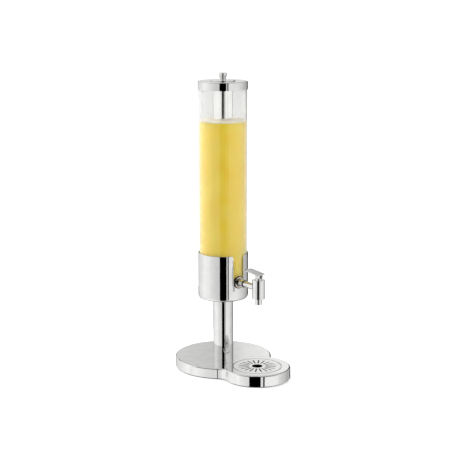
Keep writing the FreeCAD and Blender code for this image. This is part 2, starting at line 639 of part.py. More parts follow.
def valve_stem():
    """The stem with its valve disc below and a round end with a cross hole for the lever's pin."""
    top = PIN_HEIGHT + STEM_RADIUS
    profile = [(0, VALVE_DISC_BOTTOM, 0), (VALVE_SEAL_RADIUS, VALVE_DISC_BOTTOM, 0)]
    profile += [(VALVE_SEAL_RADIUS, VALVE_DISC_TOP, FINE_EDGE_ROUND), (STEM_RADIUS, VALVE_DISC_TOP, 0)]
    profile += [(STEM_RADIUS, top, STEM_RADIUS - LOOSE_GAP), (0, top, 0)]
    hole_radius = LEVER_PIN_RADIUS + PIN_RUNNING_GAP
    hole_start = Vector(-STEM_RADIUS - 1, 0, PIN_HEIGHT)
    hole = Part.makeCylinder(hole_radius, 2 * (STEM_RADIUS + 1), hole_start, Vector(1, 0, 0))
    return at_tap(turned(profile).cut(hole))


def valve_seal():
    """The soft washer under the valve disc that closes the seat."""
    return at_tap(disc(VALVE_SEAL_RADIUS, SEAT_TOP, VALVE_DISC_BOTTOM))


def arc_from(start, heading, end):
    """The arc that leaves start along heading and reaches end."""
    chord = end - start
    along = unit(chord)
    across = heading - along * heading.dot(along)
    turn = heading.getAngle(chord)
    middle = start + chord * 0.5 + unit(across) * (chord.Length / 2 * math.tan(turn / 2))
    return Part.Arc(start, middle, end).toShape()


def coil_path(radius, low, pitch, turns):
    """A rising coil about the Z axis, two tangent arcs for each quarter turn."""
    rise = pitch / (2 * math.pi)

    def point(angle):
        return Vector(radius * math.cos(angle), radius * math.sin(angle), low + rise * angle)

    def heading(angle):
        return unit(Vector(-radius * math.sin(angle), radius * math.cos(angle), rise))

    edges = []
    for index in range(turns * 4):
        first = index * math.pi / 2
        last = first + math.pi / 2
        start, end = point(first), point(last)
        leave, arrive = heading(first), heading(last)
        span = end - start
        pull = 2 * span.dot(leave + arrive)
        bend = 2 * (1 - leave.dot(arrive))
        reach = (math.sqrt(pull ** 2 + 4 * bend * span.dot(span)) - pull) / (2 * bend)
        middle = (start + end + (leave - arrive) * reach) * 0.5
        edges.append(arc_from(start, leave, middle))
        edges.append(arc_from(end, arrive * -1, middle))
    return Part.Wire(edges)


def valve_spring():
    """The closing spring round the stem, between the valve disc and the bonnet."""
    free = BONNET_BOTTOM - VALVE_DISC_TOP - 2 * SPRING_WIRE_RADIUS
    pitch = free / SPRING_TURNS
    print("spring gap between turns", round(pitch - 2 * SPRING_WIRE_RADIUS, 2))
    low = VALVE_DISC_TOP + SPRING_WIRE_RADIUS
    path = coil_path(SPRING_RADIUS, low, pitch, SPRING_TURNS)
    heading = Vector(0, SPRING_RADIUS, pitch / (2 * math.pi))
    section = Part.Circle(Vector(SPRING_RADIUS, 0, low), heading, SPRING_WIRE_RADIUS)
    return at_tap(path.makePipeShell([Part.Wire([section.toShape()])], True, False))


def cam_points():
    """The cam's working edge about the pin, as (forward, up), for a flat follower and a steady lift."""
    sweep = math.radians(LEVER_ANGLE_DEG)
    rate = VALVE_LIFT / sweep
    points = []
    for step in range(CAM_STEPS + 1):
        angle = sweep * step / CAM_STEPS
        reach = CAM_RADIUS + rate * angle
        forward = reach * math.sin(angle) + rate * math.cos(angle)
        up = -reach * math.cos(angle) + rate * math.sin(angle)
        points.append((forward, up))
    return points


def lever_plane(forward, up):
    """A point beside the pin, given forwards and upwards, in the tap's own place."""
    return Vector(0, -TAP_REACH - forward, PIN_HEIGHT + up)


def plate_height(forward):
    """Height above the pin of the lever plate's underside at a distance forwards."""
    return LEVER_PLATE_ABOVE_PIN - forward * math.tan(math.radians(LEVER_PLATE_TILT_DEG))


def lever_hub():
    """The two cam ears under the lever plate, joined as one block with a slot for the stem."""
    edge = cam_points()
    curve = Part.BSplineCurve()
    curve.interpolate([lever_plane(*point) for point in edge])
    nose = edge[-1]
    overlap = LEVER_PLATE_THICKNESS / 2
    corners = [
        nose,
        (nose[0], plate_height(nose[0]) + overlap),
        (-LEVER_HUB_REAR, plate_height(-LEVER_HUB_REAR) + overlap),
        (-CAM_REAR, -CAM_RADIUS),
        edge[0],
    ]
    points = [lever_plane(*corner) for corner in corners]
    edges = [curve.toShape()]
    edges += [Part.makeLine(first, second) for first, second in zip(points, points[1:])]
    face = Part.Face(Part.Wire(Part.__sortEdges__(edges)))
    hub = at(face.extrude(Vector(LEVER_HUB_WIDTH, 0, 0)), x=-LEVER_HUB_WIDTH / 2)
    half_slot = STEM_RADIUS + LOOSE_GAP
    slot_bottom = PIN_HEIGHT - CAM_RADIUS - 1
    slot_top = PIN_HEIGHT + STEM_RADIUS + LOOSE_GAP
    corner = Vector(-half_slot, -TAP_REACH - LEVER_PLATE_REAR, slot_bottom)
    return hub.cut(Part.makeBox(2 * half_slot, 2 * LEVER_PLATE_REAR, slot_top - slot_bottom, corner))


def lever_plate():
    """The flat paddle, rounded in plan, that a finger lifts from behind or presses down in front."""
    half = LEVER_PLATE_WIDTH / 2
    front = LEVER_PLATE_CORNER_ROUND
    rear = LEVER_PLATE_REAR_ROUND
    plan = [(-half, -LEVER_PLATE_REAR, rear), (half, -LEVER_PLATE_REAR, rear)]
    plan += [(half, LEVER_PLATE_FRONT, front), (-half, LEVER_PLATE_FRONT, front)]
    plate = face_of(plan).extrude(Vector(0, LEVER_PLATE_THICKNESS, 0))
    plate.rotate(Vector(0, 0, 0), Vector(1, 0, 0), 90)
    plate = at(plate, z=LEVER_PLATE_ABOVE_PIN)
    plate.rotate(Vector(0, 0, LEVER_PLATE_ABOVE_PIN), Vector(1, 0, 0), LEVER_PLATE_TILT_DEG)
    return at(plate, y=-TAP_REACH, z=PIN_HEIGHT)


def lever_pieces():
    """The lever and the pin pressed into its ears."""
    pin_end = LEVER_HUB_WIDTH / 2
    pin = Part.makeCylinder(
        LEVER_PIN_RADIUS, LEVER_HUB_WIDTH, Vector(-pin_end, -TAP_REACH, PIN_HEIGHT), Vector(1, 0, 0)
    )
    lever = lever_hub().fuse(lever_plate()).cut(pin).removeSplitter()
    return {"tap_lever": lever, "lever_pin": pin}


def lid_pieces():
    """The spun lid with its middle opening, and the soft ring that it seals with."""
    skirt_bottom = LID_TOP - LID_SKIRT
    inner = LID_RADIUS - LID_WALL
    opening = ICE_TUBE_RADIUS + ICE_TUBE_HOLE_GAP
    under = LID_TOP - LID_WALL
    profile = [(opening, under, 0), (inner, under, LID_EDGE_ROUND - LID_WALL), (inner, skirt_bottom, 0)]
    profile += [(LID_RADIUS, skirt_bottom, 0), (LID_RADIUS, LID_TOP, LID_EDGE_ROUND), (opening, LID_TOP, 0)]
    outer = CONTAINER_RADIUS - CONTAINER_RIM_ROUND
    gasket = ring(outer, outer - LID_GASKET_WIDTH, CONTAINER_TOP, under)
    return {"lid": turned(profile), "lid_gasket": gasket}


def ice_tube():
    """The closed tube for ice that hangs by its flange in the lid's opening."""
    bottom = LID_TOP - ICE_TUBE_LENGTH
    floor = bottom + ICE_TUBE_WALL
    inner = ICE_TUBE_RADIUS - ICE_TUBE_WALL
    inner_round = ICE_TUBE_END_ROUND - ICE_TUBE_WALL
    profile = [(0, bottom, 0), (ICE_TUBE_RADIUS, bottom, ICE_TUBE_END_ROUND), (ICE_TUBE_RADIUS, LID_TOP, 0)]
    profile += [(ICE_TUBE_FLANGE_RADIUS, LID_TOP, 0), (ICE_TUBE_FLANGE_RADIUS, FLANGE_TOP, 0)]
    profile += [(inner, FLANGE_TOP, 0), (inner, floor, inner_round), (0, floor, 0)]
    return turned(profile)


def cap_pieces():
    """The small cap over the ice tube with its seal, knob and screw."""
    under = FLANGE_TOP
    spigot_bottom = under - CAP_SPIGOT_DEPTH
    lip = CAP_SPIGOT_RADIUS + CAP_SPIGOT_LIP
    spigot_inner = CAP_SPIGOT_RADIUS - CAP_SPIGOT_WALL
    seal_low = spigot_bottom + CAP_SPIGOT_LIP
    screw_hole = KNOB_SCREW_RADIUS + FIT_GAP
    profile = [(screw_hole, under, 0), (spigot_inner, under, 0), (spigot_inner, spigot_bottom, 0)]
    profile += [(lip, spigot_bottom, 0), (lip, seal_low, 0), (CAP_SPIGOT_RADIUS, seal_low, 0)]
    profile += [(CAP_SPIGOT_RADIUS, under, 0), (CAP_RADIUS - CAP_WALL, under, 0)]
    profile += [(CAP_RADIUS - CAP_WALL, LID_TOP + LOOSE_GAP, 0), (CAP_RADIUS, LID_TOP + LOOSE_GAP, 0)]
    profile += [(CAP_RADIUS, CAP_TOP, CAP_EDGE_ROUND), (screw_hole, CAP_TOP, 0)]
    foot_top = CAP_TOP + KNOB_FOOT_HEIGHT
    knob = [(0, CAP_TOP, 0), (KNOB_FOOT_RADIUS, CAP_TOP, 0), (KNOB_FOOT_RADIUS, foot_top, FINE_EDGE_ROUND)]
    knob += [(KNOB_NECK_RADIUS, foot_top, 0)]
    knob += [(KNOB_TOP_RADIUS, foot_top + KNOB_FLARE_HEIGHT, KNOB_SHOULDER_ROUND)]
    knob += [(KNOB_TOP_RADIUS, KNOB_TOP, TURNED_EDGE_ROUND), (0, KNOB_TOP, 0)]
    screw_top = CAP_TOP + KNOB_SCREW_DEPTH
    head_low = under - KNOB_SCREW_HEAD_HEIGHT
    screw = [(0, head_low, 0), (KNOB_SCREW_HEAD_RADIUS, head_low, TURNED_EDGE_ROUND)]
    screw += [(KNOB_SCREW_HEAD_RADIUS, under, 0)]
    screw += [(KNOB_SCREW_RADIUS, under, 0), (KNOB_SCREW_RADIUS, screw_top, 0), (0, screw_top, 0)]
    return {
        "ice_tube_cap": turned(profile),
        "cap_seal": ring(CAP_SEAL_RADIUS, CAP_SPIGOT_RADIUS, seal_low, seal_low + CAP_SEAL_HEIGHT),
        "lid_knob": turned(knob).cut(disc(KNOB_SCREW_RADIUS, CAP_TOP - 1, screw_top)),
        "knob_screw": turned(screw),
    }


def all_pieces():
    """Every piece of the object by its name."""
    pieces = {
        "base_shell": base_shell(),
        "ballast_plate": ballast_plate(),
        "bottom_plate": bottom_plate(),
        "bottom_screws": Part.makeCompound(around_bosses(countersunk_screw())),
        "anti_slip_pad": outline_slab(PAD_INSET, 0, PAD_THICKNESS),
        "drip_tray": drip_tray(),
        "drip_grid": drip_grid(),
        "holder_cup": holder_cup(),
        "container": container(),
        "tap_body": tap_body(),
        "nozzle": nozzle(),
        "valve_stem": valve_stem(),
        "valve_seal": valve_seal(),
        "valve_spring": valve_spring(),
        "ice_tube": ice_tube(),
    }
    for group in (column_pieces, cup_fixing, shank_fixing, bonnet_pieces, lever_pieces, lid_pieces, cap_pieces):
        pieces.update(group())
    return pieces


def main():
    """Build every piece, write its file and print its volume."""
    os.makedirs("parts", exist_ok=True)
    for name, shape in sorted(all_pieces().items()):
        sound = shape.isValid() and all(solid.isClosed() for solid in shape.Solids)
        print(f"{name}: {len(shape.Solids)} solid, {shape.Volume:.1f} mm3, sound {sound}")
        shape.exportStep(f"parts/{name}.step")
    print("overall height", KNOB_TOP)


main()
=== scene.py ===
"""Looks of a free-standing drinks tower with a lever tap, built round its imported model.

The scene is in metres with +Z up. A name that ends in mm or um holds millimetres or micrometres. The tower's
axis is the Z axis and the tap points towards -Y.
"""

import logging
import math
import random
from collections.abc import Callable
from dataclasses import dataclass
from enum import Enum

import bmesh
import bpy
from mathutils import Matrix, Vector


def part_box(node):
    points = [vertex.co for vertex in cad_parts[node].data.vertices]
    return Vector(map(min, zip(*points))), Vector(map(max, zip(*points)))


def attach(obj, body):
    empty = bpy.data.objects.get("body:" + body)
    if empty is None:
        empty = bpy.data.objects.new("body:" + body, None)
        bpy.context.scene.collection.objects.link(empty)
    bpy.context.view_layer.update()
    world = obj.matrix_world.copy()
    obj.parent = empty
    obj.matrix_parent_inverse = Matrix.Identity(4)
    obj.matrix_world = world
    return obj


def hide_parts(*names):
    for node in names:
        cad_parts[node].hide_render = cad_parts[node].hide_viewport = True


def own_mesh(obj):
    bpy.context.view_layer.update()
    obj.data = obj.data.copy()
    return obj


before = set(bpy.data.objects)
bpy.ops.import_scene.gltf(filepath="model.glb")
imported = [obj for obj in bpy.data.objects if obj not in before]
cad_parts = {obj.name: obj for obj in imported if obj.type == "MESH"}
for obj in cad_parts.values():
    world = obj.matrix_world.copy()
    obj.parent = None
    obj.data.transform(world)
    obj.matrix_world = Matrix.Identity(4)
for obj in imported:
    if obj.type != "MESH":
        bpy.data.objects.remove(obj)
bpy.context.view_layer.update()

LOG = logging.getLogger("drinks_tower")

MM = 0.001
MICRON = 0.000001
TAP_AXIS_MM = 231.0
TAP_REACH_MM = 140.0
TRAY_REACH_MM = 136.0
ON_AXIS_MM = 0.000001
WELD = 2 * MICRON

# Edges of a copied node are dissolved up to FLAT_DEG, eased from CRISP_DEG and sharp from EASED_SHARP_DEG.
FLAT_DEG = 0.05
CRISP_DEG = 35.0
EASED_SHARP_DEG = 50.0

Socket = bpy.types.NodeSocket
Tree = bpy.types.NodeTree
Piece = bpy.types.Object


def linear(hex_colour: str) -> tuple[float, float, float, float]:
    """Turn an sRGB hex colour into the linear values that shaders use.

    Args:
        hex_colour: a colour such as "#E8E6E2".

    Returns:
        Linear red, green and blue with an alpha of one.
    """
    parts = [int(hex_colour[start:start + 2], 16) / 255 for start in (1, 3, 5)]
    curve = [part / 12.92 if part <= 0.04045 else ((part + 0.055) / 1.055) ** 2.4 for part in parts]
    return (curve[0], curve[1], curve[2], 1.0)


def add_node(
    tree: Tree, kind: str, settings: dict | None = None, inputs: dict | None = None
) -> bpy.types.Node:
    """Add one node with its settings and what feeds its inputs.

    Args:
        tree: the node tree that it goes in.
        kind: Blender's name for the kind of node.
        settings: properties to set, by name.
        inputs: plain values or output sockets, by the input's name or number.

    Returns:
        The new node.
    """
    node = tree.nodes.new(kind)
    for name, value in (settings or {}).items():
        setattr(node, name, value)
    for key, value in (inputs or {}).items():
        if isinstance(value, Socket):
            tree.links.new(value, node.inputs[key])
        else:
            node.inputs[key].default_value = value
    return node


class Grain(Enum):
    """The way the last abrasive went over a surface.

    Each holds its centre in millimetres and the axis that it went round. A buffing mop goes to and fro, so it
    has no axis.
    """

    BUFFED = ((0.0, 0.0, 0.0), None)
    ROUND_TOWER = ((0.0, 0.0, 0.0), "Z")
    ROUND_TRAY = ((0.0, -TRAY_REACH_MM, 0.0), "Z")
    ROUND_TAP = ((0.0, -TAP_REACH_MM, 0.0), "Z")
    ROUND_SHANK = ((0.0, 0.0, TAP_AXIS_MM), "Y")


@dataclass
class Pattern:
    """Patterns over one surface, sized in real millimetres from the piece's own frame.

    Blender's noise seldom leaves the span from cloud_low to cloud_high.
    """

    tree: Tree
    cloud_low: float = 0.32
    cloud_high: float = 0.68
    bubble_middle: float = 0.1
    bubble_rim: float = 0.6
    swirl_mm: float = 30.0
    swirl_rad: float = 0.8
    swirl_axis: tuple[float, float, float] = (0.3, 0.2, 1.0)
    hairline_squeeze: float = 0.04

    def __post_init__(self) -> None:
        """Find the shaded point in millimetres."""
        place = add_node(self.tree, "ShaderNodeTexCoord").outputs["Object"]
        scaled = add_node(self.tree, "ShaderNodeVectorMath", {"operation": "SCALE"},
                          {0: place, "Scale": 1 / MM})
        self.place = scaled.outputs[0]

    def patches(self, size_mm: float, low: float, high: float, detail: float = 3.0) -> Socket:
        """Soft, uneven patches.

        Args:
            size_mm: how far apart they usually are.
            low: the value between them.
            high: the value in them.
            detail: how broken up their edges are.

        Returns:
            The value over the surface.
        """
        cloud = add_node(self.tree, "ShaderNodeTexNoise", {"noise_dimensions": "3D"}, {
            "Vector": self.place,
            "Scale": 1 / size_mm,
            "Detail": detail,
        })
        spread = add_node(self.tree, "ShaderNodeMapRange", {"clamp": True}, {
            "Value": cloud.outputs["Fac"],
            "From Min": self.cloud_low,
            "From Max": self.cloud_high,
            "To Min": low,
            "To Max": high,
        })
        return spread.outputs["Result"]

    def two_tone(self, size_mm: float, first: str, second: str, detail: float = 3.0) -> Socket:
        """Soft patches of two sRGB hex colours.

        Args:
            size_mm: how far apart they usually are.
            first: the colour between them.
            second: the colour in them.
            detail: how broken up their edges are.

        Returns:
            The colour over the surface.
        """
        share = self.patches(size_mm, 0.0, 1.0, detail)
        mix = add_node(self.tree, "ShaderNodeMix", {"data_type": "RGBA"},
                       {0: share, 6: linear(first), 7: linear(second)})
        return mix.outputs[2]

    def bubbles(self, size_mm: float) -> Socket:
        """Closely packed round cells.

        Args:
            size_mm: how far apart their middles usually are.

        Returns:
            0 in their middles, rising to 1 at their rims.
        """
        cells = add_node(self.tree, "ShaderNodeTexVoronoi", {}, {"Vector": self.place, "Scale": 1 / size_mm})
        spread = add_node(self.tree, "ShaderNodeMapRange", {"clamp": True}, {
            "Value": cells.outputs["Distance"],
            "From Min": self.bubble_middle,
            "From Max": self.bubble_rim,
        })
        return spread.outputs["Result"]

    def about_axis(self, grain: Grain) -> tuple[Socket, Socket]:
        """Find the shaded point about the axis of a round grain.

        Args:
            grain: one of the round grains.

        Returns:
            Its distance from the axis, and its place along it, in millimetres.
        """
        centre, axis = grain.value
        tree = self.tree
        local = add_node(tree, "ShaderNodeVectorMath", {"operation": "SUBTRACT"}, {0: self.place, 1: centre})
        split = add_node(tree, "ShaderNodeSeparateXYZ", {}, {0: local.outputs[0]})
        across, along = ("Y", "Z") if axis == "Z" else ("Z", "Y")
        flat = add_node(tree, "ShaderNodeCombineXYZ", {}, {
            "X": split.outputs["X"],
            "Y": split.outputs[across],
        })
        radius = add_node(tree, "ShaderNodeVectorMath", {"operation": "LENGTH"}, {0: flat.outputs[0]})
        return radius.outputs["Value"], split.outputs[along]

    def band(self, grain: Grain, inner_mm: float, outer_mm: float, edge_mm: float = 0.4) -> Socket:
        """A ring about the axis of a round grain.

        Args:
            grain: one of the round grains.
            inner_mm: where the ring starts, as a distance from the axis.
            outer_mm: where it ends.
            edge_mm: how wide its soft edges are.

        Returns:
            1 in the ring and 0 elsewhere.
        """
        middle = (inner_mm + outer_mm) / 2
        reach = (outer_mm - inner_mm) / 2
        off = add_node(self.tree, "ShaderNodeMath", {"operation": "SUBTRACT"},
                       {0: self.about_axis(grain)[0], 1: middle})
        apart = add_node(self.tree, "ShaderNodeMath", {"operation": "ABSOLUTE"}, {0: off.outputs[0]})
        share = add_node(self.tree, "ShaderNodeMapRange", {"clamp": True}, {
            "Value": apart.outputs[0],
            "From Min": reach - edge_mm / 2,
            "From Max": reach + edge_mm / 2,
            "To Min": 1.0,
            "To Max": 0.0,
        })
        return share.outputs["Result"]

    def tool_lines(self, grain: Grain, spacing_mm: float) -> Socket:
        """Fine lines of a tool or an abrasive.

        Args:
            grain: the way that it moved.
            spacing_mm: the usual distance between two lines.

        Returns:
            The height of the lines, from 0 to 1.
        """
        tree = self.tree
        if grain is Grain.BUFFED:
            bent = self.patches(self.swirl_mm, 0.0, self.swirl_rad, 0.0)
            swirl = add_node(tree, "ShaderNodeVectorRotate", {"rotation_type": "AXIS_ANGLE"},
                             {"Vector": self.place, "Axis": self.swirl_axis, "Angle": bent})
            drawn = add_node(tree, "ShaderNodeVectorMath", {"operation": "MULTIPLY"},
                             {0: swirl.outputs[0], 1: (1.0, self.hairline_squeeze, 1.0)})
        else:
            radius, along = self.about_axis(grain)
            drawn = add_node(tree, "ShaderNodeCombineXYZ", {}, {"X": radius, "Y": along})
        lines = add_node(tree, "ShaderNodeTexNoise", {"noise_dimensions": "3D"}, {
            "Vector": drawn.outputs[0],
            "Scale": 1 / spacing_mm,
            "Detail": 3.0,
        })
        return lines.outputs["Fac"]

    def relief(self, layers: list[tuple[Socket, float]]) -> Socket:
        """Bend the surface by reliefs laid over each other.

        Args:
            layers: each relief, from 0 to 1, and how high its 1 stands in micrometres, coarsest first.

        Returns:
            The bent normal.
        """
        inputs = {"Strength": 1.0}
        for height, height_um in layers:
            inputs = {**inputs, "Height": height, "Distance": height_um * MICRON}
            inputs["Normal"] = add_node(self.tree, "ShaderNodeBump", {}, inputs).outputs["Normal"]
        return inputs["Normal"]


@dataclass(frozen=True)
class Finish:
    """What a surface is made of and how it was finished. Each kind writes its own shader nodes."""

    name: str

    def surface(self, tree: Tree) -> Socket:
        """Write the shader nodes of this finish.

        Args:
            tree: the material's node tree.

        Returns:
            The shader.
        """
        raise NotImplementedError

    def material(self) -> bpy.types.Material:
        """Give the material of this finish, made on first use.

        Returns:
            The material.
        """
        if self.name not in bpy.data.materials:
            made = bpy.data.materials.new(self.name)
            made.use_nodes = True
            made.node_tree.nodes.clear()
            shader = self.surface(made.node_tree)
            add_node(made.node_tree, "ShaderNodeOutputMaterial", {}, {"Surface": shader})
        return bpy.data.materials[self.name]


@dataclass(frozen=True)
class MirrorSteel(Finish):
    """Stainless steel 18/10, drawn or spun, then ground and buffed to a mirror.

    It gives clear reflections with a faint waviness left by forming, hairlines left by the last buff, and a
    slightly hazy film where it is wiped. Real hairlines are finer: these are as coarse as they need to be to
    show.
    """

    grain: Grain = Grain.BUFFED
    bright: str = "#E2E2E1"
    hazy: str = "#D9D9D8"
    roughness: float = 0.03
    haze: float = 0.03
    line_spacing_mm: float = 0.35
    line_height_um: float = 0.1
    wave_mm: float = 60.0
    wave_height_um: float = 8.0
    wipe_mm: float = 28.0

    def surface(self, tree: Tree) -> Socket:
        """Steel whose colour, gloss and normal vary a little over the surface.

        Args:
            tree: the material's node tree.

        Returns:
            The shader.
        """
        pattern = Pattern(tree)
        waves = (pattern.patches(self.wave_mm, 0.0, 1.0, 0.0), self.wave_height_um)
        lines = (pattern.tool_lines(self.grain, self.line_spacing_mm), self.line_height_um)
        shader = add_node(tree, "ShaderNodeBsdfPrincipled", {}, {
            "Base Color": pattern.two_tone(self.wipe_mm, self.bright, self.hazy, 4.0),
            "Metallic": 1.0,
            "Roughness": pattern.patches(self.wipe_mm, self.roughness, self.roughness + self.haze, 4.0),
            "Normal": pattern.relief([waves, lines]),
        })
        return shader.outputs[0]


@dataclass(frozen=True)
class SatinSteel(Finish):
    """Stainless steel as rolled, pressed or turned, not polished.

    It gives a soft grey sheen with fine tool lines and duller patches where it was handled. The lines are as
    coarse as they need to be to show.
    """

    grain: Grain = Grain.BUFFED
    light: str = "#D0CFCC"
    dull: str = "#B9B8B5"
    roughness: float = 0.26
    line_spacing_mm: float = 0.3
    line_height_um: float = 3.0
    handled_mm: float = 9.0
    dulling: float = 0.12

    def surface(self, tree: Tree) -> Socket:
        """Steel with tool lines that also spread its gloss.

        Args:
            tree: the material's node tree.

        Returns:
            The shader.
        """
        pattern = Pattern(tree)
        lines = (pattern.tool_lines(self.grain, self.line_spacing_mm), self.line_height_um)
        shader = add_node(tree, "ShaderNodeBsdfPrincipled", {}, {
            "Base Color": pattern.two_tone(self.handled_mm, self.light, self.dull),
            "Metallic": 1.0,
            "Roughness": pattern.patches(self.handled_mm, self.roughness, self.roughness + self.dulling),
            "Normal": pattern.relief([lines]),
        })
        return shader.outputs[0]


@dataclass(frozen=True)
class ShadeRingedCollar(Finish):
    """Steel collar with painted shade: two dark brown rings by its rim and root, and bright steel between
    them.

    It gives two dark brown rings with a bright one between them.
    """

    # dark and brown are painted shade for the gaps at the collar's rim and root.
    dark: str = "#30261E"
    brown: str = "#4A3D32"
    ground: str = "#C9C2B6"
    bright_ring_inner_mm: float = 10.6
    bright_ring_outer_mm: float = 13.7
    shade_patch_mm: float = 4.0
    line_spacing_mm: float = 0.3
    line_height_um: float = 1.0

    def surface(self, tree: Tree) -> Socket:
        """Two dark rings of painted shade and a bright one, with turning marks.

        Args:
            tree: the material's node tree.

        Returns:
            The shader.
        """
        pattern = Pattern(tree)
        bright = pattern.band(Grain.ROUND_SHANK, self.bright_ring_inner_mm, self.bright_ring_outer_mm)
        # Painted shade: the dark rings on each side of the bright band.
        painted_shade = pattern.two_tone(self.shade_patch_mm, self.dark, self.brown)
        lines = (pattern.tool_lines(Grain.ROUND_SHANK, self.line_spacing_mm), self.line_height_um)
        colour = add_node(tree, "ShaderNodeMix", {"data_type": "RGBA"},
                          {0: bright, 6: painted_shade, 7: linear(self.ground)})
        shader = add_node(tree, "ShaderNodeBsdfPrincipled", {}, {
            "Base Color": colour.outputs[2],
            "Metallic": 1.0,
            "Roughness": pattern.patches(self.shade_patch_mm, 0.16, 0.26),
            "Normal": pattern.relief([lines]),
        })
        return shader.outputs[0]


@dataclass(frozen=True)
class CastIron(Finish):
    """Grey iron as it came out of a sand mould, lightly oiled.

    It gives a dark, dull skin with sand grains pressed into it. They are drawn coarser than real ones, so
    that they show.
    """

    dark: str = "#3B3A39"
    brown: str = "#4A4440"
    sand_mm: float = 0.9
    sand_height_um: float = 120.0
    stain_mm: float = 18.0

    def surface(self, tree: Tree) -> Socket:
        """A rough dark metal with a grainy relief.

        Args:
            tree: the material's node tree.

        Returns:
            The shader.
        """
        pattern = Pattern(tree)
        sand = pattern.patches(self.sand_mm, 0.0, 1.0, 5.0)
        shader = add_node(tree, "ShaderNodeBsdfPrincipled", {}, {
            "Base Color": pattern.two_tone(self.stain_mm, self.dark, self.brown),
            "Metallic": 0.7,
            "Roughness": pattern.patches(self.sand_mm, 0.55, 0.8, 5.0),
            "Normal": pattern.relief([(sand, self.sand_height_um)]),
        })
        return shader.outputs[0]


@dataclass(frozen=True)
class ClearPolycarbonate(Finish):
    """Polycarbonate tube, extruded and polished, closed with a moulded floor.

    It gives clear walls with a faint grey tint, soft draw lines along the tube, and a pale veil towards its
    edges. The veil stands for fine wiping scratches, which are too fine to draw one by one.
    """

    tint: str = "#EAEAE9"
    shadow: str = "#F6F6F5"
    roughness: float = 0.01
    draw_line_mm: float = 9.0
    draw_height_um: float = 1.0
    veil: float = 0.85
    veil_roughness: float = 0.5
    wipe_mm: float = 22.0

    def surface(self, tree: Tree) -> Socket:
        """Glass-like plastic that lets lamps through, so that what stands in it is lit.

        Args:
            tree: the material's node tree.

        Returns:
            The shader.
        """
        pattern = Pattern(tree)
        draw = pattern.tool_lines(Grain.ROUND_TOWER, self.draw_line_mm)
        solid = add_node(tree, "ShaderNodeBsdfPrincipled", {}, {
            "Base Color": linear(self.tint),
            "Roughness": pattern.patches(self.wipe_mm, self.roughness, self.roughness + 0.02, 4.0),
            "IOR": 1.585,
            "Transmission Weight": 1.0,
            "Sheen Weight": self.veil,
            "Sheen Roughness": self.veil_roughness,
            "Normal": pattern.relief([(draw, self.draw_height_um)]),
        })
        through = add_node(tree, "ShaderNodeBsdfTransparent", {}, {"Color": linear(self.shadow)})
        path = add_node(tree, "ShaderNodeLightPath")
        mix = add_node(tree, "ShaderNodeMixShader", {}, {
            0: path.outputs["Is Shadow Ray"],
            1: solid.outputs[0],
            2: through.outputs[0],
        })
        return mix.outputs[0]


@dataclass(frozen=True)
class CloudyJuice(Finish):
    """Strained pineapple juice, cloudy with fine pulp.

    It gives a deep yellow body that light soaks into, a little uneven, with paler flecks of pulp.
    """

    deep: str = "#F1D83A"
    pale: str = "#F3E05E"
    pulp_mm: float = 1.6
    cloud_mm: float = 60.0
    light_reach_mm: float = 8.0

    def surface(self, tree: Tree) -> Socket:
        """A scattering body with clouds and pulp.

        Args:
            tree: the material's node tree.

        Returns:
            The shader.
        """
        pattern = Pattern(tree)
        shader = add_node(tree, "ShaderNodeBsdfPrincipled", {}, {
            "Base Color": pattern.two_tone(self.cloud_mm, self.deep, self.pale, 5.0),
            "Roughness": pattern.patches(self.pulp_mm, 0.25, 0.4),
            "IOR": 1.35,
            "Specular IOR Level": 0.1,
            "Subsurface Weight": 1.0,
            "Subsurface Radius": (1.0, 0.75, 0.25),
            "Subsurface Scale": self.light_reach_mm * MM,
        })
        return shader.outputs[0]


@dataclass(frozen=True)
class JuiceFroth(Finish):
    """Froth of fruit juice, fine bubbles that have risen.

    It gives a pale, matt cream band with a soapy gloss on the larger bubbles.
    """

    cream: str = "#F0E8D2"
    beige: str = "#E6D8BC"
    bubble_mm: float = 1.1
    bubble_height_um: float = 250.0
    blotch_mm: float = 6.0
    light_reach_mm: float = 3.0

    def surface(self, tree: Tree) -> Socket:
        """A soft pale skin, dimpled by bubbles.

        Args:
            tree: the material's node tree.

        Returns:
            The shader.
        """
        pattern = Pattern(tree)
        shader = add_node(tree, "ShaderNodeBsdfPrincipled", {}, {
            "Base Color": pattern.two_tone(self.blotch_mm, self.cream, self.beige),
            "Roughness": pattern.patches(self.bubble_mm, 0.35, 0.6),
            "Subsurface Weight": 0.6,
            "Subsurface Radius": (1.0, 0.9, 0.7),
            "Subsurface Scale": self.light_reach_mm * MM,
            "Normal": pattern.relief([(pattern.bubbles(self.bubble_mm), self.bubble_height_um)]),
        })
        return shader.outputs[0]


@dataclass(frozen=True)
class NitrileRubber(Finish):
    """Black nitrile rubber, compression moulded.

    It gives a matt black with a greyish bloom, and the texture of its mould, as coarse as it needs to be to
    show.
    """

    black: str = "#1B1B1C"
    bloom: str = "#2B2B2C"
    texture_mm: float = 0.8
    texture_height_um: float = 40.0
    bloom_mm: float = 14.0

    def surface(self, tree: Tree) -> Socket:
        """A dull black with a fine mould texture.

        Args:
            tree: the material's node tree.

        Returns:
            The shader.
        """
        pattern = Pattern(tree)
        pores = pattern.patches(self.texture_mm, 0.0, 1.0)
        shader = add_node(tree, "ShaderNodeBsdfPrincipled", {}, {
            "Base Color": pattern.two_tone(self.bloom_mm, self.black, self.bloom, 4.0),
            "Roughness": pattern.patches(self.bloom_mm, 0.55, 0.7, 4.0),
            "IOR": 1.52,
            "Normal": pattern.relief([(pores, self.texture_height_um)]),
        })
        return shader.outputs[0]


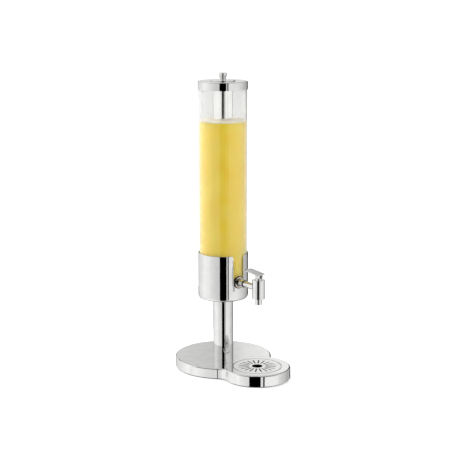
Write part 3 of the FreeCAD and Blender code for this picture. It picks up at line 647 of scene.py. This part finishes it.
@dataclass(frozen=True)
class SiliconeRubber(Finish):
    """Food-grade silicone, moulded with little or no pigment.

    It gives a milky, slightly see-through body with a dry, satin skin. The skin's grain is as coarse as it
    needs to be to show.
    """

    milky: str = "#E6E5DF"
    shade: str = "#D6D5CD"
    skin_mm: float = 0.6
    skin_height_um: float = 12.0
    cloud_mm: float = 11.0
    light_reach_mm: float = 2.0

    def surface(self, tree: Tree) -> Socket:
        """A milky body under a satin skin.

        Args:
            tree: the material's node tree.

        Returns:
            The shader.
        """
        pattern = Pattern(tree)
        skin = pattern.patches(self.skin_mm, 0.0, 1.0, 2.0)
        shader = add_node(tree, "ShaderNodeBsdfPrincipled", {}, {
            "Base Color": pattern.two_tone(self.cloud_mm, self.milky, self.shade),
            "Roughness": pattern.patches(self.cloud_mm, 0.38, 0.5),
            "IOR": 1.41,
            "Subsurface Weight": 0.5,
            "Subsurface Radius": (1.0, 1.0, 0.95),
            "Subsurface Scale": self.light_reach_mm * MM,
            "Normal": pattern.relief([(skin, self.skin_height_um)]),
        })
        return shader.outputs[0]


# The finishes of this tower.
BUFFED_SHELL = MirrorSteel("mirror polished steel, drawn shell", wave_mm=90.0, wave_height_um=5.0)
BUFFED_TUBE = MirrorSteel("mirror polished steel, tube and spun parts", Grain.ROUND_TOWER, wave_height_um=3.0)
# The ice tube's steel is painted brighter than the other steel, a painted light that makes up for what the
# clear wall takes away.
BRIGHTENED_ICE_TUBE = MirrorSteel("mirror polished steel, ice tube painted brighter", Grain.ROUND_TOWER, "#F6F6F4", "#EFEFED")
BUFFED_GRID = MirrorSteel("mirror polished steel, punched grid", Grain.ROUND_TRAY, roughness=0.06)
BUFFED_TAP = MirrorSteel("mirror plated tap body", Grain.ROUND_TAP, wave_height_um=1.0, wave_mm=12.0)
BUFFED_SHANK = MirrorSteel("mirror plated tap shank", Grain.ROUND_SHANK, wave_height_um=1.0, wave_mm=12.0)
BUFFED_LEVER = MirrorSteel("mirror plated lever", Grain.BUFFED, "#CFCFCD", "#C4C4C2", roughness=0.08,
                           haze=0.05, wave_height_um=4.0, wave_mm=15.0)
ROLLED_SHEET = SatinSteel("rolled stainless sheet")
TURNED_TOWER = SatinSteel("turned stainless, tower axis", Grain.ROUND_TOWER)
# The pan is painted near black, a painted shade for the dark under the grid, in its slots and finger hole.
SHADE_DARK_PAN = SatinSteel("spun stainless pan painted dark as shade", Grain.ROUND_TRAY, "#403F3E", "#343332", 0.3)
# Slot walls and eased edges of the grid are painted near black, a painted shade for the slots.
SLOT_SHADE = SatinSteel("stainless slot walls painted dark as shade", Grain.ROUND_TRAY, "#2E2D2C", "#242322", 0.42)
TURNED_TAP = SatinSteel("turned stainless, tap axis", Grain.ROUND_TAP, roughness=0.16)
# The collar's dark rings are painted shade.
SHADE_RINGED_COLLAR = ShadeRingedCollar("steel collar with painted shade rings")
TURNED_SHANK = SatinSteel("turned stainless, shank axis", Grain.ROUND_SHANK)
SAND_CAST_IRON = CastIron("sand cast grey iron")
CLEAR_TUBE = ClearPolycarbonate("clear polycarbonate tube")
JUICE = CloudyJuice("cloudy pineapple juice")
FROTH = JuiceFroth("juice froth")
BLACK_RUBBER = NitrileRubber("black nitrile rubber")
MILKY_SILICONE = SiliconeRubber("milky silicone")
# The outer gasket is painted dark grey-brown, a painted shade for the gap between flange and container wall.
SHADE_DARK_SILICONE = SiliconeRubber("silicone painted dark as shade", "#6E655A", "#5C5349")


def dress(finish: Finish, *nodes: str) -> None:
    """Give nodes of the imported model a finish.

    Args:
        finish: what they are made of.
        nodes: their names.
    """
    for name in nodes:
        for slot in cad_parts[name].material_slots:
            slot.material = finish.material()
        LOG.info("%s: %s", name, finish.name)


def shade_by_area(data: bpy.types.Mesh, sharp_deg: float) -> None:
    """Shade a mesh smoothly, with large flat faces kept flat beside their small eased edges.

    Args:
        data: the mesh.
        sharp_deg: faces that meet at more than this keep a crisp edge between them.
    """
    limit = math.cos(math.radians(sharp_deg))
    around = [[] for _ in data.vertices]
    for face in data.polygons:
        for vertex in face.vertices:
            around[vertex].append(face.normal * face.area)
    normals = []
    for face in data.polygons:
        for vertex in face.vertices:
            near = [weighted for weighted in around[vertex] if weighted.normalized().dot(face.normal) > limit]
            normals.append(sum(near, Vector()).normalized() if near else face.normal)
    data.shade_smooth()
    data.normals_split_custom_set(normals)


def new_piece(name: str, mesh: bmesh.types.BMesh, finish: Finish, sharp_deg: float = 40.0) -> Piece:
    """Make a smooth-shaded piece from mesh data and free that data.

    Args:
        name: the piece's name.
        mesh: its mesh data, in metres.
        finish: what it is made of.
        sharp_deg: edges that turn more than this stay sharp.

    Returns:
        The piece.
    """
    bmesh.ops.recalc_face_normals(mesh, faces=mesh.faces)
    data = bpy.data.meshes.new(name)
    mesh.to_mesh(data)
    mesh.free()
    shade_by_area(data, sharp_deg)
    data.materials.append(finish.material())
    piece = bpy.data.objects.new(name, data)
    bpy.context.scene.collection.objects.link(piece)
    return piece


def fit(piece: Piece, body: str, slot: str, *replaced: str) -> None:
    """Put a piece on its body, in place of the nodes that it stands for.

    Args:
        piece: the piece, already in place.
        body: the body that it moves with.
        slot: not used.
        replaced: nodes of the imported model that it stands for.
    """
    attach(piece, body)
    if replaced:
        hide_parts(*replaced)
    LOG.info("%s: %d faces, on %s", piece.name, len(piece.data.polygons), body)


def rounded(corners: list[tuple[float, float, float]], steps: int) -> list[tuple[float, float]]:
    """Points of an outline whose corners are rounded by arcs.

    Args:
        corners: radius, height and round radius of each corner, in millimetres.
        steps: how many stretches each arc has.

    Returns:
        Radius and height of each point.
    """
    points = []
    for index, (radius, height, bend) in enumerate(corners):
        corner = Vector((radius, height))
        if bend <= 0 or index in (0, len(corners) - 1):
            points.append((radius, height))
            continue
        before = (Vector(corners[index - 1][:2]) - corner).normalized()
        after = (Vector(corners[index + 1][:2]) - corner).normalized()
        half = before.angle(after) / 2
        centre = corner + (before + after).normalized() * (bend / math.sin(half))
        start = corner + before * (bend / math.tan(half)) - centre
        end = corner + after * (bend / math.tan(half)) - centre
        for step in range(steps + 1):
            share = step / steps
            spoke = (start * (1 - share) + end * share).normalized() * bend
            points.append(tuple(centre + spoke))
    return points


def turned(outline: list[tuple[float, float]], segments: int) -> bmesh.types.BMesh:
    """Turn an outline about the tower's axis.

    Args:
        outline: radius and height of its points, in millimetres, from the axis back to the axis.
        segments: how many steps go round.

    Returns:
        The mesh data, in metres.
    """
    mesh = bmesh.new()
    rings = []
    for radius, height in outline:
        if radius < ON_AXIS_MM:
            rings.append([mesh.verts.new((0.0, 0.0, height * MM))] * segments)
            continue
        ring = []
        for step in range(segments):
            angle = 2 * math.pi * step / segments
            place = (radius * MM * math.cos(angle), radius * MM * math.sin(angle), height * MM)
            ring.append(mesh.verts.new(place))
        rings.append(ring)
    for lower, upper in zip(rings, rings[1:]):
        for step in range(segments):
            following = (step + 1) % segments
            around = [lower[step], lower[following], upper[following], upper[step]]
            distinct = list(dict.fromkeys(around))
            if len(distinct) > 2:
                mesh.faces.new(distinct)
    return mesh


def eased_copy(node: str, name: str, finish: Finish, ease_mm: float) -> Piece:
    """Copy a node with its crisp edges eased, as a deburring wheel leaves them.

    Args:
        node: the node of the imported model.
        name: the new piece's name.
        finish: what it is made of.
        ease_mm: how far each edge is eased.

    Returns:
        The new piece.
    """
    mesh = bmesh.new()
    mesh.from_mesh(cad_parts[node].data)
    bmesh.ops.remove_doubles(mesh, verts=mesh.verts, dist=WELD)
    bmesh.ops.dissolve_limit(mesh, angle_limit=math.radians(FLAT_DEG), verts=mesh.verts, edges=mesh.edges)
    limit = math.radians(CRISP_DEG)
    crisp = [edge for edge in mesh.edges if edge.is_manifold and edge.calc_face_angle() > limit]
    bmesh.ops.bevel(mesh, geom=crisp, offset=ease_mm * MM, segments=3, profile=0.5, affect="EDGES",
                    clamp_overlap=True)
    return new_piece(name, mesh, finish, EASED_SHARP_DEG)


@dataclass
class BaseUnit:
    """The weighted base: its drawn shell, ballast, bottom plate and pad."""

    def build(self) -> None:
        """Dress the base's own pieces."""
        dress(BUFFED_SHELL, "base_shell")
        dress(SAND_CAST_IRON, "ballast_plate")
        dress(ROLLED_SHEET, "bottom_plate", "bottom_screws")
        dress(BLACK_RUBBER, "anti_slip_pad")


@dataclass
class DripTray:
    """The lift-out pan and the grid with radial slots."""

    slot_ease_mm: float = 0.45
    # Faces whose normal is less upright than this get the painted shade of the slots.
    slot_shade_normal_z: float = 0.97

    def punched_grid(self) -> Piece:
        """Make the grid with eased slots, polished on its flat faces, with its slot walls and eased edges
        matt and dark as painted shade in the slots.

        Returns:
            The grid.
        """
        grid = eased_copy("drip_grid", "punched_grid", BUFFED_GRID, self.slot_ease_mm)
        # Steep faces get the dark finish, a painted shade in the slots.
        grid.data.materials.append(SLOT_SHADE.material())
        for face in grid.data.polygons:
            if abs(face.normal.z) < self.slot_shade_normal_z:
                face.material_index = 1
        return grid

    def build(self) -> None:
        """Dress the pan and fit the grid."""
        # The pan's near black colour is painted shade under the grid.
        dress(SHADE_DARK_PAN, "drip_tray")
        fit(self.punched_grid(), "drip_grid", "polished_steel", "drip_grid")


@dataclass
class Column:
    """The tube between base and cup, with the rod that clamps it."""

    def build(self) -> None:
        """Dress the column's pieces."""
        dress(BUFFED_TUBE, "column_tube")
        dress(TURNED_TOWER, "column_foot_plug", "column_head_plug", "tie_rod", "rod_washer", "rod_nut")


@dataclass
class HolderCup:
    """The spun cup with its slot, fixing and soft seat."""

    def build(self) -> None:
        """Dress the cup and what holds it."""
        dress(BUFFED_TUBE, "holder_cup")
        dress(TURNED_TOWER, "cup_washer", "cup_screw")
        dress(MILKY_SILICONE, "seat_pad")


@dataclass
class Container:
    """The clear container with its drink.

    The drink reaches a little into the wall, because a gap of air there would show as a mirror.
    """

    wall_mm: float = 3.0
    floor_mm: float = 4.0
    reach_into_wall_mm: float = 0.15
    bottom_round_mm: float = 3.0
    juice_top_round_mm: float = 0.4
    juice_round_steps: int = 8
    froth_top_mm: float = 635.0
    froth_depth_mm: float = 4.2
    froth_top_round_mm: float = 0.2
    froth_round_steps: int = 6
    meniscus_mm: float = 1.2
    segments: int = 128
    bubble_count: int = 150
    bubble_mm: tuple[float, float] = (0.5, 1.5)
    bubble_sink: float = 0.3
    wall_band_mm: tuple[float, float] = (0.2, 3.0)
    tube_clear_mm: float = 25.5
    tube_turn: int = 3
    bubble_seed: int = 5

    def __post_init__(self) -> None:
        """Read the container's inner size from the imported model."""
        low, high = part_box("container")
        self.inner = high.x / MM - self.wall_mm
        self.reach = self.inner + self.reach_into_wall_mm
        self.floor = low.z / MM + self.floor_mm - self.reach_into_wall_mm

    def juice(self) -> Piece:
        """Make the drink, a round body up to the froth.

        Returns:
            The drink.
        """
        top = self.froth_top_mm - self.froth_depth_mm
        corners = [
            (0.0, self.floor, 0.0),
            (self.reach, self.floor, self.bottom_round_mm),
            (self.reach, top, self.juice_top_round_mm),
            (0.0, top, 0.0),
        ]
        return new_piece("juice", turned(rounded(corners, self.juice_round_steps), self.segments), JUICE)

    def froth(self) -> Piece:
        """Make the froth on the drink, creeping up the wall, with larger bubbles along its edges.

        Every bubble whose number divides by tube_turn lies at the ice tube, and the others lie at the wall.

        Returns:
            The froth.
        """
        bottom = self.froth_top_mm - self.froth_depth_mm
        top = self.froth_top_mm
        climb = self.meniscus_mm
        corners = [
            (0.0, bottom, 0.0),
            (self.reach, bottom, 0.0),
            (self.reach, top, self.froth_top_round_mm),
            (self.reach - climb, top - climb, climb / 2),
            (0.0, top - climb, 0.0),
        ]
        mesh = turned(rounded(corners, self.froth_round_steps), self.segments)
        chance = random.Random(self.bubble_seed)
        for index in range(self.bubble_count):
            size = chance.uniform(*self.bubble_mm)
            if index % self.tube_turn == 0:
                reach = self.tube_clear_mm + size
            else:
                reach = self.inner - size - chance.uniform(*self.wall_band_mm)
            angle = chance.uniform(0, 2 * math.pi)
            height = top - climb - size * self.bubble_sink
            centre = Vector((reach * math.cos(angle), reach * math.sin(angle), height)) * MM
            bmesh.ops.create_icosphere(mesh, subdivisions=2, radius=size * MM,
                                       matrix=Matrix.Translation(centre))
        return new_piece("juice_froth", mesh, FROTH)

    def build(self) -> None:
        """Dress the container and fill it."""
        dress(CLEAR_TUBE, "container")
        fit(self.juice(), "container", "clear_plastic")
        fit(self.froth(), "container", "clear_plastic")


@dataclass
class Tap:
    """The lever tap with its shank through the container's wall."""

    lever_ease_mm: float = 0.45
    shank_ease_mm: float = 0.2
    thread_radius_mm: float = 9.6
    valve_lift_mm: float = 3.0

    def flanged_shank(self) -> Piece:
        """Make the plated shank, with painted shade rings on its flange against the container.

        Returns:
            The shank.
        """
        shank = eased_copy("tap_shank", "flanged_shank", BUFFED_SHANK, self.shank_ease_mm)
        shank.data.materials.append(SHADE_RINGED_COLLAR.material())
        for face in shank.data.polygons:
            corners = [shank.data.vertices[index].co for index in face.vertices]
            off_axis = max(math.hypot(corner.x, corner.z - TAP_AXIS_MM * MM) for corner in corners)
            # Flange faces take the collar finish with its painted shade rings.
            if off_axis > self.thread_radius_mm * MM:
                face.material_index = 1
        return shank

    def fit_spring(self) -> None:
        """Fit the closing spring."""
        mesh = bmesh.new()
        mesh.from_mesh(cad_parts["valve_spring"].data)
        bmesh.ops.remove_doubles(mesh, verts=mesh.verts, dist=WELD)
        spring = new_piece("pressed_spring", mesh, TURNED_TAP)
        fit(spring, "container", "satin_steel", "valve_spring")
        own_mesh(spring)

    def build(self) -> None:
        """Dress the tap and ease its lever."""
        dress(BUFFED_TAP, "tap_body", "nozzle", "bonnet")
        dress(TURNED_SHANK, "tap_lock_nut")
        dress(TURNED_TAP, "valve_stem", "lever_pin")
        dress(BLACK_RUBBER, "tap_joint_ring", "valve_seal", "stem_seal")
        # The outer gasket's dark colour is painted shade.
        dress(SHADE_DARK_SILICONE, "tap_outer_gasket")
        dress(MILKY_SILICONE, "tap_inner_gasket")
        fit(self.flanged_shank(), "container", "polished_steel", "tap_shank")
        self.fit_spring()
        lever = eased_copy("tap_lever", "paddle_lever", BUFFED_LEVER, self.lever_ease_mm)
        fit(lever, "lever", "polished_steel", "tap_lever")


@dataclass
class Lid:
    """The spun lid, the ice tube that hangs in it, and the knobbed cap."""

    def build(self) -> None:
        """Dress the lid's pieces."""
        dress(BUFFED_TUBE, "lid", "ice_tube_cap", "lid_knob")
        # The ice tube's brighter steel is painted light for the clear wall's loss.
        dress(BRIGHTENED_ICE_TUBE, "ice_tube")
        dress(TURNED_TOWER, "knob_screw")
        dress(MILKY_SILICONE, "lid_gasket", "cap_seal")


@dataclass(frozen=True)
class Card:
    """An upright studio card that only mirrors see, placed round the tower.

    Distances and heights are metres, and angles are degrees to the right of the line from the tower to the
    camera. Its glow gives its brightness at evenly spaced places from left to right.
    """

    name: str
    left_angle: float
    left_distance: float
    right_angle: float
    right_distance: float
    low: float
    high: float
    glow: tuple[float, ...] = (0.0, 0.0)


# Levels of the walls that mirrors see, by degrees to the right of the line from the tower to the camera.
WALL_LEVELS = {
    -180: 0.62, -152: 0.68, -116: 0.87, -93: 0.98, -74: 0.87, -58: 0.76, -42: 0.68, -27: 0.61,
    16: 0.66, 29: 0.76, 67: 0.78, 85: 0.74, 107: 0.6, 136: 0.4, 160: 0.66, 180: 0.62,
}
# Levels on the camera's side by steepness, which is 0 straight down, 0.5 level and 1 straight up.
CEILING_LEVELS = {0.0: 0.95, 0.35: 0.95, 0.375: 0.85, 0.66: 0.8, 0.7: 0.16, 0.94: 0.16, 0.97: 0.7}


@dataclass
class Studio:
    """Camera, floor, lamps, reflection cards and background.

    Distances are metres. What mirrors show through the clear wall is brighter by clear_wall_lift, which makes
    up for what that wall takes away.
    """

    camera_angle_deg: float = 38.41
    camera_distance: float = 3.053
    camera_height: float = 0.982
    camera_pitch_deg: float = 11.75
    camera_turn_deg: float = 0.469
    lens_mm: float = 95.3
    sensor_mm: float = 36.0
    floor_size: float = 120.0
    floor_glow: float = 0.15
    floor_colour: str = "#F4F4F4"
    plain_level: float = 1.0
    mirror_level: float = 1.24
    even_level: float = 0.8
    ceiling_starts: float = 0.1
    ceiling_full: float = 0.3
    clear_wall_lift: float = 2.2
    key_power: float = 33.0
    key_angle_deg: float = -100.0
    fill_power: float = 16.0
    fill_angle_deg: float = 45.0
    lamp_size: float = 1.6
    lamp_distance: float = 1.9
    lamp_height: float = 2.0
    lamp_aim_height: float = 0.35
    cards: tuple[Card, ...] = (
        Card("front_card", -15.0, 0.60, 15.0, 0.75, -0.8, 2.4),
        Card("front_strip", 20.0, 1.70, 25.0, 1.70, -1.2, 3.0),
        Card("right_card", 142.0, 1.60, 168.0, 1.60, -1.5, 2.4),
        Card("left_card", -168.0, 1.60, -148.0, 1.60, -1.5, 2.4, (0.1, 0.6, 0.85)),
        Card("low_left_card", -172.0, 0.42, -146.0, 0.42, -0.02, 0.11),
        Card("low_right_card", 138.0, 0.46, 172.0, 0.42, -0.02, 0.11),
        Card("lid_left_card", -174.0, 1.40, -140.0, 1.40, 0.65, 0.81),
        Card("lid_right_card", 140.0, 1.40, 174.0, 1.40, 0.65, 0.81),
        Card("back_card", -166.0, 1.34, 166.0, 1.34, 0.30, 0.52,
             (1.05, 0.9, 0.79, 0.735, 0.67, 0.96, 1.03, 1.08, 1.15)),
    )

    def toward_camera(self) -> Vector:
        """The level direction from the tower to the camera."""
        angle = math.radians(self.camera_angle_deg)
        return Vector((-math.sin(angle), -math.cos(angle), 0.0))

    def to_right(self) -> Vector:
        """The level direction to the camera's right."""
        angle = math.radians(self.camera_angle_deg)
        return Vector((math.cos(angle), -math.sin(angle), 0.0))

    def around(self, angle_deg: float, distance: float, height: float) -> Vector:
        """Find a point round the tower.

        Args:
            angle_deg: its angle to the right of the camera's side.
            distance: its level distance from the axis.
            height: its height above the table.

        Returns:
            The point.
        """
        angle = math.radians(angle_deg)
        level = self.toward_camera() * math.cos(angle) + self.to_right() * math.sin(angle)
        return level * distance + Vector((0.0, 0.0, height))

    def add_camera(self) -> None:
        """The camera, pitched down and turned a little to its right."""
        data = bpy.data.cameras.new("camera")
        data.lens = self.lens_mm
        data.sensor_width = self.sensor_mm
        camera = bpy.data.objects.new("camera", data)
        camera.location = self.around(0.0, self.camera_distance, self.camera_height)
        turn = -math.radians(self.camera_angle_deg + self.camera_turn_deg)
        camera.rotation_euler = (math.radians(90 - self.camera_pitch_deg), 0.0, turn)
        bpy.context.scene.collection.objects.link(camera)
        bpy.context.scene.camera = camera

    def add_stand(self, name: str, mesh: bmesh.types.BMesh, shade: Callable[[Tree], Socket]) -> Piece:
        """Make a piece of the studio.

        Args:
            name: its name.
            mesh: its mesh data, which is freed.
            shade: writes its shader nodes and gives the shader.

        Returns:
            The piece.
        """
        data = bpy.data.meshes.new(name)
        mesh.to_mesh(data)
        mesh.free()
        material = bpy.data.materials.new(name)
        material.use_nodes = True
        material.node_tree.nodes.clear()
        shader = shade(material.node_tree)
        add_node(material.node_tree, "ShaderNodeOutputMaterial", {}, {"Surface": shader})
        data.materials.append(material)
        stand = bpy.data.objects.new(name, data)
        bpy.context.scene.collection.objects.link(stand)
        return stand

    def floor_shader(self, tree: Tree) -> Socket:
        """A pale floor that looks white in full light and keeps the tower's soft shadow.

        Args:
            tree: the material's node tree.

        Returns:
            The shader.
        """
        matt = add_node(tree, "ShaderNodeBsdfDiffuse", {}, {"Color": linear(self.floor_colour)})
        glow = add_node(tree, "ShaderNodeEmission", {}, {"Strength": self.floor_glow})
        both = add_node(tree, "ShaderNodeAddShader", {}, {0: matt.outputs[0], 1: glow.outputs[0]})
        path = add_node(tree, "ShaderNodeLightPath")
        seen = add_node(tree, "ShaderNodeMath", {"operation": "MAXIMUM"}, {
            0: path.outputs["Is Camera Ray"],
            1: path.outputs["Is Transmission Ray"],
        })
        mix = add_node(tree, "ShaderNodeMixShader", {}, {
            0: seen.outputs[0],
            1: matt.outputs[0],
            2: both.outputs[0],
        })
        return mix.outputs[0]

    def add_floor(self) -> None:
        """The floor. Mirrors don't see it, but the even light below it."""
        mesh = bmesh.new()
        bmesh.ops.create_grid(mesh, x_segments=1, y_segments=1, size=self.floor_size / 2)
        floor = self.add_stand("floor", mesh, self.floor_shader)
        floor.visible_glossy = False

    def set_stops(self, ramp: bpy.types.ColorRamp, stops: dict[float, float]) -> None:
        """Give a ramp its grey stops.

        Args:
            ramp: the ramp.
            stops: the level at each place from 0 to 1.
        """
        for index, (place, level) in enumerate(stops.items()):
            stop = ramp.elements[index] if index < len(ramp.elements) else ramp.elements.new(place)
            stop.position = place
            stop.color = (level, level, level, 1.0)

    def add_card(self, card: Card) -> None:
        """An upright card that only mirrors see, also through a clear wall.

        Args:
            card: its place and glow.
        """
        mesh = bmesh.new()
        ends = (card.low, card.high)
        left = [mesh.verts.new(self.around(card.left_angle, card.left_distance, end)) for end in ends]
        right = [mesh.verts.new(self.around(card.right_angle, card.right_distance, end)) for end in ends]
        face = mesh.faces.new([left[0], right[0], right[1], left[1]])
        across = mesh.loops.layers.uv.new("across")
        for loop, share in zip(face.loops, (0.0, 1.0, 1.0, 0.0)):
            loop[across].uv = (share, 0.5)

        def shade(tree: Tree) -> Socket:
            """A glow that changes across the card, and nothing for rays that met no mirror.

            Args:
                tree: the card's node tree.

            Returns:
                The shader.
            """
            place = add_node(tree, "ShaderNodeUVMap", {"uv_map": "across"})
            share = add_node(tree, "ShaderNodeSeparateXYZ", {}, {0: place.outputs[0]})
            levels = add_node(tree, "ShaderNodeValToRGB", {}, {0: share.outputs["X"]})
            last = len(card.glow) - 1
            peak = max(max(card.glow), 1.0)
            stops = {index / last: level / peak for index, level in enumerate(card.glow)}
            self.set_stops(levels.color_ramp, stops)
            glow = add_node(tree, "ShaderNodeEmission", {}, {0: levels.outputs[0], 1: peak})
            clear = add_node(tree, "ShaderNodeBsdfTransparent")
            path = add_node(tree, "ShaderNodeLightPath")
            mirrored = add_node(tree, "ShaderNodeMath", {"operation": "MINIMUM"},
                                {0: path.outputs["Glossy Depth"], 1: 1.0})
            mix = add_node(tree, "ShaderNodeMixShader", {}, {
                0: mirrored.outputs[0],
                1: clear.outputs[0],
                2: glow.outputs[0],
            })
            return mix.outputs[0]

        stand = self.add_stand(card.name, mesh, shade)
        stand.visible_camera = False
        stand.visible_diffuse = False
        stand.visible_shadow = False
        stand.visible_volume_scatter = False

    def add_lamp(self, name: str, angle_deg: float, power: float) -> None:
        """A large soft lamp above the camera's height.

        Args:
            name: its name.
            angle_deg: its place to the right of the camera's side.
            power: its power in watts.
        """
        data = bpy.data.lights.new(name, "AREA")
        data.shape = "DISK"
        data.size = self.lamp_size
        data.energy = power
        lamp = bpy.data.objects.new(name, data)
        lamp.location = self.around(angle_deg, self.lamp_distance, self.lamp_height)
        aim = Vector((0.0, 0.0, self.lamp_aim_height)) - lamp.location
        lamp.rotation_euler = aim.to_track_quat("-Z", "Y").to_euler()
        lamp.visible_glossy = False
        bpy.context.scene.collection.objects.link(lamp)

    def mirror_walls(self, tree: Tree) -> Socket:
        """What mirrors see of the studio: softly graded white walls and a darker ceiling in front.

        Args:
            tree: the world's node tree.

        Returns:
            The level in each direction.
        """
        way = add_node(tree, "ShaderNodeTexCoord").outputs["Generated"]
        front = add_node(tree, "ShaderNodeVectorMath", {"operation": "DOT_PRODUCT"},
                         {0: way, 1: self.toward_camera()}).outputs["Value"]
        side = add_node(tree, "ShaderNodeVectorMath", {"operation": "DOT_PRODUCT"},
                        {0: way, 1: self.to_right()}).outputs["Value"]
        angle = add_node(tree, "ShaderNodeMath", {"operation": "ARCTAN2"}, {0: side, 1: front})
        turn = add_node(tree, "ShaderNodeMapRange", {}, {
            "Value": angle.outputs[0],
            "From Min": -math.pi,
            "From Max": math.pi,
        })
        walls = add_node(tree, "ShaderNodeValToRGB", {}, {"Fac": turn.outputs["Result"]})
        stops = {(degrees + 180) / 360: level for degrees, level in WALL_LEVELS.items()}
        self.set_stops(walls.color_ramp, stops)
        height = add_node(tree, "ShaderNodeSeparateXYZ", {}, {0: way})
        steepness = add_node(tree, "ShaderNodeMapRange", {"clamp": True}, {
            "Value": height.outputs["Z"],
            "From Min": -1.0,
            "From Max": 1.0,
        })
        ceiling = add_node(tree, "ShaderNodeValToRGB", {}, {"Fac": steepness.outputs["Result"]})
        self.set_stops(ceiling.color_ramp, CEILING_LEVELS)
        path = add_node(tree, "ShaderNodeLightPath")
        one_mirror = add_node(tree, "ShaderNodeMath", {"operation": "LESS_THAN"},
                              {0: path.outputs["Glossy Depth"], 1: 1.5})
        ahead = add_node(tree, "ShaderNodeMapRange", {"clamp": True}, {
            "Value": front,
            "From Min": self.ceiling_starts,
            "From Max": self.ceiling_full,
        })
        share = add_node(tree, "ShaderNodeMath", {"operation": "MULTIPLY"}, {
            0: one_mirror.outputs[0],
            1: ahead.outputs["Result"],
        })
        by_height = add_node(tree, "ShaderNodeMix", {"data_type": "FLOAT"}, {
            0: share.outputs[0],
            2: self.even_level,
            3: ceiling.outputs["Color"],
        })
        both = add_node(tree, "ShaderNodeMath", {"operation": "MULTIPLY"}, {
            0: walls.outputs["Color"],
            1: by_height.outputs[0],
        })
        return both.outputs[0]

    def add_background(self) -> None:
        """One plain level for the camera and matt surfaces, which is white, and graded walls for mirrors."""
        world = bpy.data.worlds.new("studio")
        world.use_nodes = True
        tree = world.node_tree
        tree.nodes.clear()
        path = add_node(tree, "ShaderNodeLightPath")
        after_mirror = add_node(tree, "ShaderNodeMath", {"operation": "MINIMUM"},
                                {0: path.outputs["Glossy Depth"], 1: 1.0})
        inside = add_node(tree, "ShaderNodeMapRange", {"clamp": True}, {
            "Value": path.outputs["Transmission Depth"],
            "To Min": self.mirror_level / self.even_level,
            "To Max": self.mirror_level / self.even_level * self.clear_wall_lift,
        })
        walls = add_node(tree, "ShaderNodeMath", {"operation": "MULTIPLY"}, {
            0: self.mirror_walls(tree),
            1: inside.outputs["Result"],
        })
        level = add_node(tree, "ShaderNodeMix", {"data_type": "FLOAT"}, {
            0: after_mirror.outputs[0],
            2: self.plain_level,
            3: walls.outputs[0],
        })
        glow = add_node(tree, "ShaderNodeBackground", {}, {
            "Color": linear("#FFFFFF"),
            "Strength": level.outputs[0],
        })
        add_node(tree, "ShaderNodeOutputWorld", {}, {"Surface": glow.outputs[0]})
        bpy.context.scene.world = world

    def build(self) -> None:
        """Set up the whole studio."""
        self.add_camera()
        self.add_floor()
        for card in self.cards:
            self.add_card(card)
        self.add_lamp("key", self.key_angle_deg, self.key_power)
        self.add_lamp("fill", self.fill_angle_deg, self.fill_power)
        self.add_background()
        bpy.context.scene.view_settings.view_transform = "Standard"
        LOG.info("studio: %d cards", len(self.cards))


def main() -> None:
    """Build the studio and then each sub-assembly, from the table up."""
    logging.basicConfig(level=logging.INFO, format="%(message)s")
    for unit in (Studio(), BaseUnit(), DripTray(), Column(), HolderCup(), Container(), Tap(), Lid()):
        unit.build()


if __name__ == "__main__":
    main()
